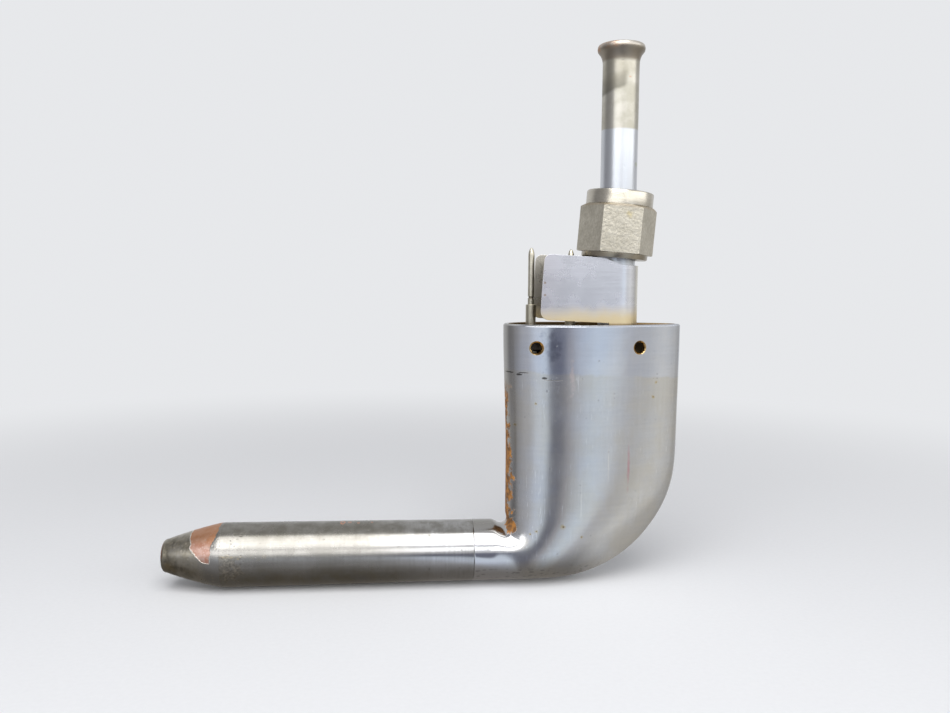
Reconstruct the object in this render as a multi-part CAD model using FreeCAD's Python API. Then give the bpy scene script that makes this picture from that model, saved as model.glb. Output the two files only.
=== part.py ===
"""Heated pitot tube on an L-shaped streamlined mast, in millimetres.

The frame: +Z up along the mast towards the aircraft, the nose points along -X, Y is the thickness.
The origin is the middle of the mast's top plane, where the mast meets its socket.
"""

import FreeCAD, Part
import math
import os

# ---- mast: a hollow streamlined strut that turns into a round stub ----
mast_chord = 48.0
mast_thickness = 19.5
mast_front_taper = 1.0
mast_rear_taper = 0.3
mast_wall = 2.0
mast_rim_chamfer = 0.4
section_fullness = 0.38
bend_radius = 33.75
inner_corner_front = 3.5
inner_corner_below = 2.5
inner_corner_valley = 1.8

# ---- mouth of the mast and the plate that closes it ----
mouth_wall = 1.4
mouth_depth = 1.7
plate_thickness = 2.5
plate_gap = 0.05

# ---- screw holes, two a side ----
screw_hole_radius = 1.45
screw_chamfer_depth = 0.4
screw_hole_depth_z = 5.9
screw_spacing = 27.5
screw_pair_offset = -2.55

# ---- barrel ----
barrel_drop = 61.2
barrel_rear_radius = 8.05
barrel_front_radius = 8.35
barrel_wall = 1.25
barrel_length = 65.4
stub_reach = 31.9
spigot_length = 6.0
spigot_wall = 1.15
stub_wall = 2.2
slide_gap = 0.05

# ---- nose cap ----
nose_length = 15.7
nose_tip_radius = 4.35
nose_bulge = 0.35
nose_tip_round = 1.1
intake_radius = 2.75
intake_lead = 0.35
nose_spigot_length = 6.0
nose_socket_depth = 9.0
drain_radius = 0.6
drain_setback = 7.0

# ---- ram air passage ----
pitot_share = 0.46691
pitot_wall = 0.725
pitot_tail = 1.5
dam_setback = 16.0
dam_thickness = 1.5
dam_open_share = 0.35
line_gap = 0.07
line_wall = 0.68
line_bend = 30.0
line_overlap = 5.6

# ---- rear bulkhead and barrel heater ----
bulkhead_gap = 0.5
bulkhead_thickness = 2.6
fit_gap = 0.08
former_wall = 1.1
winding_thickness = 0.85
winding_pitch = 1.6
winding_groove = 0.35
mica_thickness = 0.5
heater_front_gap = 2.0
heater_rear_gap = 2.8
winding_margin = 2.0

# ---- riser tube and its flare ----
riser_radius = 4.7625
riser_wall = 0.889
riser_x = 6.2
riser_top = 72.2
riser_bottom = 14.0
flare_radius = 6.15
flare_height = 4.0
flare_lip = 1.7

# ---- reducer bush under the riser ----
reducer_wall = 0.8
reducer_socket = 5.0
reducer_web = 1.5
reducer_tail = 4.5

# ---- contact pins, their insulator and hardware ----
pin_radius = 0.825
pin_front_x = -16.7
pin_rear_x = -6.15
pin_front_top = 19.9
pin_rear_top = 19.6
pin_base_radius = 1.35
pin_base_top = 5.0
pin_groove_z = 6.9
pin_groove_width = 0.5
pin_groove_depth = 0.2
stud_radius = 1.25
stud_bottom = 12.6
solder_cup_depth = 3.0
insulator_top = 0.5
insulator_radius = 2.8
insulator_flange_radius = 4.0
insulator_flange_thickness = 2.0
gasket_thickness = 0.5
washer_radius = 2.4
washer_thickness = 0.5
pin_nut_flats = 5.0
pin_nut_height = 2.0

# ---- connector guard: a U of sheet wrapped round the riser, open towards the nose ----
guard_sheet = 0.7
guard_gap = 0.14
guard_reach = 20.7
guard_foot = 0.35
guard_top = 17.1
guard_step_top = 15.6
guard_step_start = 5.5
guard_step_end = 1.2
guard_top_round = 1.8
guard_foot_round = 2.2
guard_lean = 3.2
guard_tab_start = -3.0

# ---- coupling nut, loose on the riser ----
nut_flats = 17.4625
nut_length = 17.5
nut_collar_radius = 8.75
nut_collar_height = 3.8
nut_washer_radius = 8.65
nut_washer_height = 1.4
nut_bore_radius = 5.75
nut_thread_radius = 7.0
nut_lip = 3.8
nut_chamfer = 1.1
nut_edge = 0.45
nut_tilt = 4.6
nut_turn = -5.8
nut_rest_gap = 0.2

# ---- mast heater ----
bracket_sheet = 0.8
bracket_half_width = 3.0
bracket_x = -1.6
bracket_bottom = 41.9
mast_heater_radius = 4.2
mast_heater_flange = 5.4
mast_heater_flange_thickness = 1.2
mast_heater_top = 19.0

# ---- heater leads ----
lead_radius = 0.7
lead_web_share = 0.06143
lead_bend = 6.0
series_lead_turn = 13.4
series_lead_bend = 14.0
series_lead_setback = 3.0

# ---- sizes that follow from the ones above ----
axis_z = -barrel_drop
plate_top = -mouth_depth
plate_bottom = plate_top - plate_thickness
mast_front = -mast_chord / 2 + mast_front_taper
mast_rear = mast_chord / 2 - mast_rear_taper
bend_centre_x = mast_rear - bend_radius
bend_centre_z = axis_z - barrel_rear_radius + bend_radius
corner_x = mast_front - inner_corner_front
corner_z = axis_z + barrel_rear_radius + inner_corner_below
barrel_bore = barrel_rear_radius - barrel_wall
pitot_radius = pitot_share * barrel_bore
line_radius = pitot_radius - pitot_wall - line_gap
barrel_front_x = -stub_reach - barrel_length
nose_tip_x = barrel_front_x - nose_length
spigot_radius = barrel_bore - slide_gap
spigot_bore = spigot_radius - spigot_wall
lead_hole_radius = lead_radius + slide_gap
lead_nearest = pitot_radius + slide_gap + lead_hole_radius
lead_farthest = spigot_bore - lead_hole_radius
lead_offset = lead_nearest + lead_web_share * (lead_farthest - lead_nearest)
bulkhead_rear = -stub_reach - spigot_length - bulkhead_gap
bulkhead_front = bulkhead_rear - bulkhead_thickness
heater_rear = bulkhead_front - heater_rear_gap
heater_front = barrel_front_x + nose_spigot_length + heater_front_gap
former_bore = pitot_radius + fit_gap
former_radius = former_bore + former_wall
winding_bore = former_radius + fit_gap
winding_radius = winding_bore + winding_thickness
mica_bore = winding_radius + fit_gap
riser_bore = riser_radius - riser_wall
riser_hole = riser_radius + plate_gap


def vec(x, y, z):
    return FreeCAD.Vector(x, y, z)


def cylinder(radius, base, direction, length):
    return Part.makeCylinder(radius, length, base, direction)


def post(radius, x, z_low, z_high, y=0.0):
    """A round post along Z."""
    return cylinder(radius, vec(x, y, z_low), vec(0, 0, 1), z_high - z_low)


def rod(radius, x_low, x_high, y=0.0, z=axis_z):
    """A round rod along X, on the barrel's axis unless told otherwise."""
    return cylinder(radius, vec(x_low, y, z), vec(1, 0, 0), x_high - x_low)


def sleeve(outer, inner, x_low, x_high):
    """A plain tube on the barrel's axis."""
    return rod(outer, x_low, x_high).cut(rod(inner, x_low, x_high))


def polygon_face(points):
    return Part.Face(Part.makePolygon([*points, points[0]]))


def turned_on_barrel(edges):
    """Revolve a closed outline drawn above the barrel's axis."""
    face = Part.Face(Part.Wire(edges))
    return face.revolve(vec(0, 0, axis_z), vec(1, 0, 0), 360)


def turned_on_post(outline, x):
    """Revolve a closed polygon of (radius, z) about a vertical axis at x."""
    face = polygon_face([vec(x + r, 0, z) for r, z in outline])
    return face.revolve(vec(x, 0, 0), vec(0, 0, 1), 360)


def box(x_low, x_high, half_width, z_low, z_high):
    corner = vec(x_low, -half_width, z_low)
    return Part.makeBox(x_high - x_low, 2 * half_width, z_high - z_low, corner)


def stadium(x_low, x_high, radius, z_low, z_high):
    """A block with round ends, whose end circles are centred at x_low and x_high."""
    middle = box(x_low, x_high, radius, z_low, z_high)
    ends = [post(radius, x, z_low, z_high) for x in (x_low, x_high)]
    return middle.fuse(ends).removeSplitter()


def hexagon(flats, x, z_low, z_high, turn=0.0):
    corner_radius = flats / math.sqrt(3)
    angles = [math.radians(turn + 60 * i) for i in range(6)]
    corners = [
        vec(x + corner_radius * math.cos(a), corner_radius * math.sin(a), z_low)
        for a in angles
    ]
    return polygon_face(corners).extrude(vec(0, 0, z_high - z_low))


# ---------------------------------------------------------------- mast

SECTION_POINTS = 48
FAN_STEPS = 9


def section_points(origin, along, start, end, thickness, fullness):
    """Points round a streamlined section from start to end along a direction, blunt at both ends."""
    angles = [2 * math.pi * i / SECTION_POINTS for i in range(SECTION_POINTS)]
    shape = [math.sin(a) * (1 + fullness * math.cos(a)) for a in angles]
    scale = thickness / 2 / max(shape)
    points = []
    for angle, offset in zip(angles, shape):
        reach = start + (end - start) * (1 - math.cos(angle)) / 2
        points.append(origin + along * reach + vec(0, scale * offset, 0))
    return points


def section_curve(points):
    curve = Part.BSplineCurve()
    steps = [i / len(points) for i in range(len(points) + 1)]
    curve.interpolate(Points=points, PeriodicFlag=True, Parameters=steps)
    return curve


def skin(sections):
    """A closed solid whose one smooth side face passes through every section."""
    curves = [section_curve(points) for points in sections]
    middles = [(points[0] + points[SECTION_POINTS // 2]) / 2 for points in sections]
    steps = [0.0]
    for low, high in zip(middles, middles[1:]):
        steps.append(steps[-1] + (high - low).Length)
    rows = []
    for poles in zip(*[curve.getPoles() for curve in curves]):
        row = Part.BSplineCurve()
        row.interpolate(Points=list(poles), Parameters=steps)
        rows.append(row)
    first = curves[0]
    surface = Part.BSplineSurface()
    surface.buildFromPolesMultsKnots(
        [row.getPoles() for row in rows],
        first.getMultiplicities(), rows[0].getMultiplicities(),
        first.getKnots(), rows[0].getKnots(),
        True, False, first.Degree, rows[0].Degree,
    )
    side = surface.toShape()
    ends = [surface.vIso(step).toShape() for step in (steps[0], steps[-1])]
    caps = [Part.Face(Part.Wire(edge)) for edge in ends]
    shell = Part.makeShell([side, *caps])
    shell.sewShape()
    return Part.makeSolid(Part.Shell(shell.Faces))


def ease(share):
    share = min(max(share, 0.0), 1.0)
    return share * share * (3 - 2 * share)


def mast_edges_at(z):
    """Where the leading and trailing edges are at one height of the straight strut."""
    share = ease(z / bend_centre_z)
    front = -mast_chord / 2 + mast_front_taper * share
    rear = mast_chord / 2 - mast_rear_taper * share
    if z < bend_centre_z:
        rise = z - bend_centre_z
        rear = bend_centre_x + math.sqrt(bend_radius**2 - rise**2)
    return front, rear


def strut_section(z, inset):
    front, rear = mast_edges_at(min(z, 0.0))
    return section_points(
        vec(0, 0, z), vec(1, 0, 0), front + inset, rear - inset,
        mast_thickness - 2 * inset, section_fullness,
    )


def bend_reach(angle):
    """How far the outer outline lies from the inner corner's centre at one fan angle."""
    dx, dz = math.cos(angle), -math.sin(angle)
    off_x, off_z = corner_x - bend_centre_x, corner_z - bend_centre_z
    along = off_x * dx + off_z * dz
    reach = -along + math.sqrt(along**2 - off_x**2 - off_z**2 + bend_radius**2)
    if corner_x + reach * dx < bend_centre_x:
        reach = (corner_z - (axis_z - barrel_rear_radius)) / math.sin(angle)
    return reach


def fan_section(turned, inset):
    """A section on a plane that turns about the inner corner, from the strut (0) to the stub (1)."""
    angle = turned * math.pi / 2
    valley = inner_corner_valley * math.sin(2 * angle) ** 2
    start = inner_corner_front + (inner_corner_below - inner_corner_front) * turned + valley
    thickness = mast_thickness + (2 * barrel_rear_radius - mast_thickness) * turned**1.5
    return section_points(
        vec(corner_x, 0, corner_z), vec(math.cos(angle), 0, -math.sin(angle)),
        start + inset, bend_reach(angle) - inset,
        thickness - 2 * inset, section_fullness * (1 - ease(turned)),
    )


def stub_section(x, inset):
    radius = barrel_rear_radius - inset
    return section_points(vec(x, 0, axis_z), vec(0, 0, -1), -radius, radius, 2 * radius, 0.0)


def spread(low, high, count):
    return [low + (high - low) * i / count for i in range(count + 1)]


def mast_skin(top, inset, stub_inset):
    """The strut, its turn and its stub as one smooth solid, drawn in by an inset all over."""
    heights = spread(top, bend_centre_z, 5) + spread(bend_centre_z, corner_z, 2)[1:-1]
    sections = [strut_section(z, inset) for z in heights]
    sections += [fan_section(i / FAN_STEPS, inset) for i in range(FAN_STEPS)]
    sections += [stub_section(x, stub_inset) for x in spread(corner_x, -stub_reach, 3)]
    return skin(sections)


def screw_positions():
    middle, half = screw_pair_offset, screw_spacing / 2
    return [middle - half, middle + half]


def half_thickness_at(x):
    """Half the strut's outer thickness at a screw hole's height."""
    front, rear = mast_edges_at(-screw_hole_depth_z)
    angles = [math.pi * i / 400 for i in range(401)]
    fullest = max(math.sin(a) * (1 + section_fullness * math.cos(a)) for a in angles)
    angle = math.acos(1 - 2 * (x - front) / (rear - front))
    offset = math.sin(angle) * (1 + section_fullness * math.cos(angle))
    return mast_thickness / 2 * offset / fullest


def screw_cutters():
    """Each hole runs along Y, and its countersink is square to the mast's skin."""
    cutters = []
    depth = screw_chamfer_depth
    for x in screw_positions():
        skin = half_thickness_at(x)
        slope = half_thickness_at(x + 0.5) - half_thickness_at(x - 0.5)
        for side in (-1, 1):
            axis = vec(x, 0, -screw_hole_depth_z)
            cutters.append(cylinder(screw_hole_radius, axis, vec(0, side, 0), mast_thickness))
            normal = vec(-slope, side, 0).normalize()
            bottom = axis + vec(0, side * skin, 0) - normal * depth
            cone = Part.makeCone(
                screw_hole_radius, screw_hole_radius + 4 * depth, 4 * depth, bottom, normal
            )
            cutters.append(cone)
    return cutters


def make_mast():
    shell = mast_skin(0.0, 0.0, 0.0)
    top_edge = max(shell.Edges, key=lambda e: e.BoundBox.ZMin)
    shell = shell.makeChamfer(mast_rim_chamfer, [top_edge])
    front = -stub_reach
    shell = shell.fuse(rod(spigot_radius, front - spigot_length, front + 1.0))
    cavity = mast_skin(plate_bottom, mast_wall, stub_wall)
    mouth = skin([strut_section(z, mouth_wall) for z in spread(plate_bottom, 1.0, 4)])
    bore = rod(spigot_bore, front - spigot_length, front + 1.0)
    return shell.cut([cavity, mouth, bore]).cut(screw_cutters())


def make_top_plate():
    outline = section_curve(strut_section(plate_bottom, mouth_wall + plate_gap)).toShape()
    plate = Part.Face(Part.Wire(outline)).extrude(vec(0, 0, plate_thickness))
    riser_opening = post(riser_hole, riser_x, plate_bottom, plate_top)
    insulator_opening = stadium(
        pin_front_x, pin_rear_x, insulator_radius + plate_gap, plate_bottom, plate_top
    )
    return plate.cut([riser_opening, insulator_opening])


# ---------------------------------------------------------------- barrel and nose


def make_barrel_tube():
    rear, front = -stub_reach, barrel_front_x
    taper = Part.makeCone(
        barrel_front_radius, barrel_rear_radius, barrel_length,
        vec(front, 0, axis_z), vec(1, 0, 0),
    )
    return taper.cut(rod(barrel_bore, front, rear))


def nose_point(x, radius):
    return vec(x, 0, axis_z + radius)


def make_nose_cap():
    shoulder = barrel_front_x
    tip = nose_tip_x
    spigot_end = shoulder + nose_spigot_length
    socket_end = spigot_end - nose_socket_depth
    round_start = tip + nose_tip_round
    middle_x = (shoulder + round_start) / 2
    middle_radius = (barrel_front_radius + nose_tip_radius) / 2 + nose_bulge
    round_middle = nose_tip_round * (1 - math.cos(math.radians(45)))
    cone = Part.Arc(
        nose_point(shoulder, barrel_front_radius),
        nose_point(middle_x, middle_radius),
        nose_point(round_start, nose_tip_radius),
    )
    tip_round = Part.Arc(
        nose_point(round_start, nose_tip_radius),
        nose_point(tip + round_middle, nose_tip_radius - round_middle),
        nose_point(tip, nose_tip_radius - nose_tip_round),
    )
    corners = [
        nose_point(tip, nose_tip_radius - nose_tip_round),
        nose_point(tip, intake_radius + intake_lead),
        nose_point(tip + intake_lead, intake_radius),
        nose_point(socket_end, intake_radius),
        nose_point(socket_end, pitot_radius + slide_gap),
        nose_point(spigot_end, pitot_radius + slide_gap),
        nose_point(spigot_end, spigot_radius),
        nose_point(shoulder, spigot_radius),
        nose_point(shoulder, barrel_front_radius),
    ]
    straight = [Part.makeLine(a, b) for a, b in zip(corners, corners[1:])]
    cap = turned_on_barrel([cone.toShape(), tip_round.toShape(), *straight])
    drain = post(drain_radius, tip + drain_setback, axis_z - barrel_front_radius, axis_z)
    return cap.cut(drain)


def make_pitot_tube():
    front = barrel_front_x + nose_spigot_length - nose_socket_depth
    rear = bulkhead_rear + pitot_tail
    return sleeve(pitot_radius, pitot_radius - pitot_wall, front, rear)


def make_water_dam():
    radius = pitot_radius - pitot_wall - slide_gap
    front = barrel_front_x + dam_setback
    disc = rod(radius, front, front + dam_thickness)
    opening_bottom = axis_z + radius * (1 - 2 * dam_open_share)
    opening = box(front, front + dam_thickness, radius, opening_bottom, axis_z + radius)
    return disc.cut(opening)


def lead_seats():
    """Where the two leads cross the bulkhead, as (y, z), between the pitot tube and the spigot."""
    turn = math.radians(series_lead_turn)
    across, rise = lead_offset * math.cos(turn), lead_offset * math.sin(turn)
    return [(0.0, axis_z + lead_offset), (across, axis_z + rise)]


def make_rear_bulkhead():
    disc = sleeve(spigot_radius, pitot_radius + slide_gap, bulkhead_front, bulkhead_rear)
    holes = [
        rod(lead_hole_radius, bulkhead_front, bulkhead_rear, y, z)
        for y, z in lead_seats()
    ]
    return disc.cut(holes)


def make_heater_former():
    return sleeve(former_radius, former_bore, heater_front, heater_rear)


def grooved_sleeve(outer, inner, low, high):
    """The outline, as (along, radius), of a close winding: one ridge a turn."""
    turns = int((high - low) / winding_pitch)
    start = (low + high - turns * winding_pitch) / 2
    outline = [(start, inner)]
    for turn in range(turns):
        left = start + turn * winding_pitch
        outline += [(left, outer - winding_groove), (left + winding_pitch / 2, outer)]
    end = start + turns * winding_pitch
    return [*outline, (end, outer - winding_groove), (end, inner)]


def make_heater_winding():
    low = heater_front + winding_margin
    high = heater_rear - winding_margin
    outline = grooved_sleeve(winding_radius, winding_bore, low, high)
    points = [nose_point(x, radius) for x, radius in outline]
    return turned_on_barrel(Part.makePolygon([*points, points[0]]).Edges)


def make_mica_wrap():
    return sleeve(mica_bore + mica_thickness, mica_bore, heater_front, heater_rear)


# ---------------------------------------------------------------- pressure line and riser


def bent_pipe(radius, x_end, z_end, riser_at, z_top, bend, y=0.0):
    """A rod along X that turns up through a quarter bend into a post along Z."""
    bend_x = riser_at - bend
    bend_z = z_end + bend
    flat = rod(radius, x_end, bend_x, y, z_end)
    section = Part.Face(Part.Wire(Part.makeCircle(radius, vec(bend_x, y, z_end), vec(1, 0, 0))))
    turn = section.revolve(vec(bend_x, y, bend_z), vec(0, 1, 0), -90)
    upright = post(radius, riser_at, bend_z, z_top, y)
    return flat.fuse([turn, upright]).removeSplitter()


def pressure_line_top():
    return -riser_bottom - reducer_web


def make_pressure_line():
    start = bulkhead_rear + pitot_tail - line_overlap
    top = pressure_line_top()
    outer = bent_pipe(line_radius, start, axis_z, riser_x, top, line_bend)
    inner = bent_pipe(line_radius - line_wall, start, axis_z, riser_x, top, line_bend)
    return outer.cut(inner)


def make_reducer_bush():
    outer = riser_hole + reducer_wall
    socket_top = -riser_bottom + reducer_socket
    passage_bottom = pressure_line_top()
    bottom = passage_bottom - reducer_tail
    socket = line_radius + slide_gap
    passage = line_radius - line_wall
    outline = [
        (outer, bottom), (outer, socket_top), (riser_hole, socket_top),
        (riser_hole, -riser_bottom), (passage, -riser_bottom), (passage, passage_bottom),
        (socket, passage_bottom), (socket, bottom),
    ]
    return turned_on_post(outline, riser_x)


def make_riser_tube():
    lip_bottom = riser_top - flare_lip
    flare_bottom = riser_top - flare_height
    lip_soft = flare_lip / 3
    flare_bore = flare_radius - riser_wall
    outline = [
        (riser_radius, -riser_bottom),
        (riser_radius, flare_bottom),
        (riser_radius + 0.3 * (flare_radius - riser_radius), (flare_bottom + lip_bottom) / 2),
        (flare_radius - lip_soft / 2, lip_bottom),
        (flare_radius, lip_bottom + lip_soft),
        (flare_radius, riser_top - lip_soft),
        (flare_radius - lip_soft, riser_top),
        (flare_bore, riser_top),
        (flare_bore - lip_soft / 2, riser_top - lip_soft / 2),
        (riser_bore, flare_bottom + lip_soft),
        (riser_bore, -riser_bottom),
    ]
    return turned_on_post(outline, riser_x)


# ---------------------------------------------------------------- electrical connection


def make_contact_pin(x, top):
    half_groove = pin_groove_width / 2
    neck = pin_radius - pin_groove_depth
    seat = -insulator_top
    cup = stud_bottom - solder_cup_depth
    cup_radius = lead_radius + slide_gap
    outline = [
        (0, top), (pin_radius / 2, top), (pin_radius, top - pin_radius),
        (pin_radius, pin_groove_z + half_groove), (neck, pin_groove_z + half_groove),
        (neck, pin_groove_z - half_groove), (pin_radius, pin_groove_z - half_groove),
        (pin_radius, pin_base_top), (pin_base_radius, pin_base_top),
        (pin_base_radius, seat), (stud_radius, seat),
        (stud_radius, -stud_bottom), (cup_radius, -stud_bottom),
        (cup_radius, -cup), (0, -cup),
    ]
    return turned_on_post(outline, x)


def insulator_bottom():
    return plate_bottom - gasket_thickness - insulator_flange_thickness


def pin_holes(radius):
    return [post(radius, x, -stud_bottom, 0.0) for x in (pin_front_x, pin_rear_x)]


def make_terminal_insulator():
    flange_top = plate_bottom - gasket_thickness
    body = stadium(pin_front_x, pin_rear_x, insulator_radius, flange_top, -insulator_top)
    flange = stadium(
        pin_front_x, pin_rear_x, insulator_flange_radius, insulator_bottom(), flange_top
    )
    return body.fuse(flange).cut(pin_holes(stud_radius + slide_gap))


def make_insulator_gasket():
    low = plate_bottom - gasket_thickness
    sheet = stadium(pin_front_x, pin_rear_x, insulator_flange_radius, low, plate_bottom)
    opening = stadium(pin_front_x, pin_rear_x, insulator_radius + plate_gap, low, plate_bottom)
    return sheet.cut(opening)


def make_pin_washer(x):
    top = insulator_bottom()
    ring = post(washer_radius, x, top - washer_thickness, top)
    return ring.cut(post(stud_radius + slide_gap, x, top - washer_thickness, top))


def make_pin_nut(x):
    top = insulator_bottom() - washer_thickness
    low = top - pin_nut_height
    body = hexagon(pin_nut_flats, x, low, top)
    return body.cut(post(stud_radius + slide_gap, x, low, top))


def guard_outline():
    """The guard's side view about the riser's axis, standing straight."""
    left = -guard_reach
    right = riser_radius + guard_gap + 2 * guard_sheet
    low_round, high_round = guard_foot_round, guard_top_round
    soft = 1 - math.cos(math.radians(45))
    points = [
        (left + low_round, guard_foot), (left + low_round * soft, guard_foot + low_round * soft),
        (left, guard_foot + low_round), (left, guard_top - high_round),
        (left + high_round * soft, guard_top - high_round * soft), (left + high_round, guard_top),
        (-guard_step_start, guard_top), (-guard_step_end, guard_step_top),
        (right, guard_step_top), (right, guard_foot),
    ]
    corners = [vec(x, 0, z) for x, z in points]
    arcs = [Part.Arc(*corners[0:3]).toShape(), Part.Arc(*corners[3:6]).toShape()]
    chain = [corners[2:4], corners[5:7], corners[6:8], corners[7:9], corners[8:10]]
    chain.append([corners[9], corners[0]])
    lines = [Part.makeLine(a, b) for a, b in chain]
    edges = Part.__sortEdges__([*arcs, *lines])
    return Part.Face(Part.Wire(edges))


def guard_bend(radius, z_low, z_high):
    straight = box(riser_x - 2 * guard_reach, riser_x, radius, z_low, z_high)
    return straight.fuse(post(radius, riser_x, z_low, z_high))


def make_connector_guard():
    inner = riser_radius + guard_gap
    outer = inner + guard_sheet
    height = guard_top + mouth_depth
    sheet = guard_bend(outer, plate_top, height).cut(guard_bend(inner, plate_top, height))
    side = guard_outline()
    side.rotate(vec(0, 0, 0), vec(0, 1, 0), guard_lean)
    side.translate(vec(riser_x, -2 * outer, 0))
    side_cut = side.extrude(vec(0, 4 * outer, 0))
    tab = box(riser_x + guard_tab_start, riser_x + 2 * outer, 2 * outer, plate_top, guard_foot * 4)
    return sheet.common(side_cut.fuse(tab)).removeSplitter()


# ---------------------------------------------------------------- coupling nut


def nut_rest_height():
    """The middle of the nut's lower face, so that it rests on the guard's top edge."""
    lean = math.radians(guard_lean)
    step = vec(-guard_step_start, 0, guard_top)
    step_x = step.x * math.cos(lean) + step.z * math.sin(lean)
    step_z = step.z * math.cos(lean) - step.x * math.sin(lean)
    return step_z + step_x * math.tan(math.radians(nut_tilt)) + nut_rest_gap


def make_coupling_nut():
    hex_low = nut_washer_height
    hex_high = nut_length - nut_collar_height
    body = hexagon(nut_flats, 0.0, hex_low, hex_high, nut_turn)
    corner = nut_flats / math.sqrt(3)
    chamfer_drop = nut_chamfer * math.tan(math.radians(30))
    turned = [
        (0, 0), (nut_washer_radius - nut_edge, 0), (nut_washer_radius, nut_edge),
        (nut_washer_radius, hex_low), (corner - nut_chamfer, hex_low),
        (corner, hex_low + chamfer_drop), (corner, hex_high - chamfer_drop),
        (corner - nut_chamfer, hex_high), (nut_collar_radius, hex_high),
        (nut_collar_radius, nut_length - nut_edge), (nut_collar_radius - nut_edge, nut_length),
        (0, nut_length),
    ]
    collars = [
        post(nut_washer_radius, 0.0, 0.0, hex_low), post(nut_collar_radius, 0.0, hex_high, nut_length)
    ]
    body = body.fuse(collars).common(turned_on_post(turned, 0.0))
    seat_rise = nut_thread_radius - nut_bore_radius
    bore = [
        (0, -1), (nut_bore_radius + nut_edge, -1), (nut_bore_radius + nut_edge, 0),
        (nut_bore_radius, nut_edge), (nut_bore_radius, nut_lip),
        (nut_thread_radius, nut_lip + seat_rise), (nut_thread_radius, nut_length - nut_edge),
        (nut_thread_radius + nut_edge, nut_length), (nut_thread_radius + nut_edge, nut_length + 1),
        (0, nut_length + 1),
    ]
    nut = body.cut(turned_on_post(bore, 0.0)).removeSplitter()
    nut.translate(vec(0, 0, -nut_length / 2))
    nut.rotate(vec(0, 0, 0), vec(0, 1, 0), nut_tilt)
    rise = nut_length / 2 * math.cos(math.radians(nut_tilt))
    nut.translate(vec(riser_x, 0, nut_rest_height() + rise))
    return nut


# ---------------------------------------------------------------- mast heater and leads


def mast_heater_x():
    return bracket_x - mast_heater_flange - slide_gap


def make_heater_bracket():
    strip = box(bracket_x, bracket_x + bracket_sheet, bracket_half_width, -bracket_bottom, plate_bottom)
    foot_end = mast_heater_x() - mast_heater_flange
    foot = box(
        foot_end, bracket_x, bracket_half_width, -bracket_bottom, -bracket_bottom + bracket_sheet
    )
    return strip.fuse(foot).removeSplitter()


def mast_heater_bottom():
    return -bracket_bottom + bracket_sheet


def make_mast_heater_core():
    low, high = mast_heater_bottom(), -mast_heater_top
    flange = mast_heater_flange_thickness
    core = post(mast_heater_radius, mast_heater_x(), low, high)
    ends = [
        post(mast_heater_flange, mast_heater_x(), z, z + flange) for z in (low, high - flange)
    ]
    return core.fuse(ends).removeSplitter()


def make_mast_heater_winding():
    low = mast_heater_bottom() + mast_heater_flange_thickness
    high = -mast_heater_top - mast_heater_flange_thickness
    inner = mast_heater_radius + fit_gap
    outline = grooved_sleeve(inner + winding_thickness, inner, low, high)
    return turned_on_post([(radius, z) for z, radius in outline], mast_heater_x())


def make_front_lead():
    """From the front pin down the mast and through the bulkhead to the barrel's heater."""
    top = -stud_bottom + solder_cup_depth
    y, z = lead_seats()[0]
    return bent_pipe(lead_radius, heater_rear, z, pin_front_x, top, lead_bend, y)


def make_rear_lead():
    """From the rear pin to the mast's heater."""
    return post(lead_radius, pin_rear_x, -mast_heater_top, -stud_bottom + solder_cup_depth)


def make_series_lead():
    """From the mast's heater to the barrel's heater."""
    y, z = lead_seats()[1]
    x = mast_heater_x() - series_lead_setback
    top = mast_heater_bottom()
    return bent_pipe(lead_radius, heater_rear, z, x, top, series_lead_bend, y)


def main():
    nodes = {
        "mast": make_mast(),
        "top_plate": make_top_plate(),
        "barrel_tube": make_barrel_tube(),
        "nose_cap": make_nose_cap(),
        "pitot_tube": make_pitot_tube(),
        "water_dam": make_water_dam(),
        "rear_bulkhead": make_rear_bulkhead(),
        "heater_former": make_heater_former(),
        "heater_winding": make_heater_winding(),
        "mica_wrap": make_mica_wrap(),
        "pressure_line": make_pressure_line(),
        "reducer_bush": make_reducer_bush(),
        "riser_tube": make_riser_tube(),
        "terminal_insulator": make_terminal_insulator(),
        "insulator_gasket": make_insulator_gasket(),
        "contact_pin_front": make_contact_pin(pin_front_x, pin_front_top),
        "contact_pin_rear": make_contact_pin(pin_rear_x, pin_rear_top),
        "pin_washer_front": make_pin_washer(pin_front_x),
        "pin_washer_rear": make_pin_washer(pin_rear_x),
        "pin_nut_front": make_pin_nut(pin_front_x),
        "pin_nut_rear": make_pin_nut(pin_rear_x),
        "connector_guard": make_connector_guard(),
        "coupling_nut": make_coupling_nut(),
        "heater_bracket": make_heater_bracket(),
        "mast_heater_core": make_mast_heater_core(),
        "mast_heater_winding": make_mast_heater_winding(),
        "heater_lead_front": make_front_lead(),
        "heater_lead_rear": make_rear_lead(),
        "heater_lead_series": make_series_lead(),
    }
    os.makedirs("parts", exist_ok=True)
    for name, shape in nodes.items():
        print(f"{name:22s} valid {shape.isValid()} solids {len(shape.Solids)} mm3 {shape.Volume:9.1f}")
        shape.exportStep(f"parts/{name}.step")


main()
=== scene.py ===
# %% [markdown]
# This lesson dresses a heated pitot tube: the L-shaped probe that stands on an aircraft's skin
# and feeds ram air pressure to the airspeed indicator. A plated mast carries a round barrel with
# a tapered nose, and a pressure tube, two heater pins, a sheet guard and a loose coupling nut
# stand on top of it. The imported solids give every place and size, and this file gives the looks.

# %% Load the solids
import math

import bpy
from mathutils import Matrix, Vector


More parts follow.
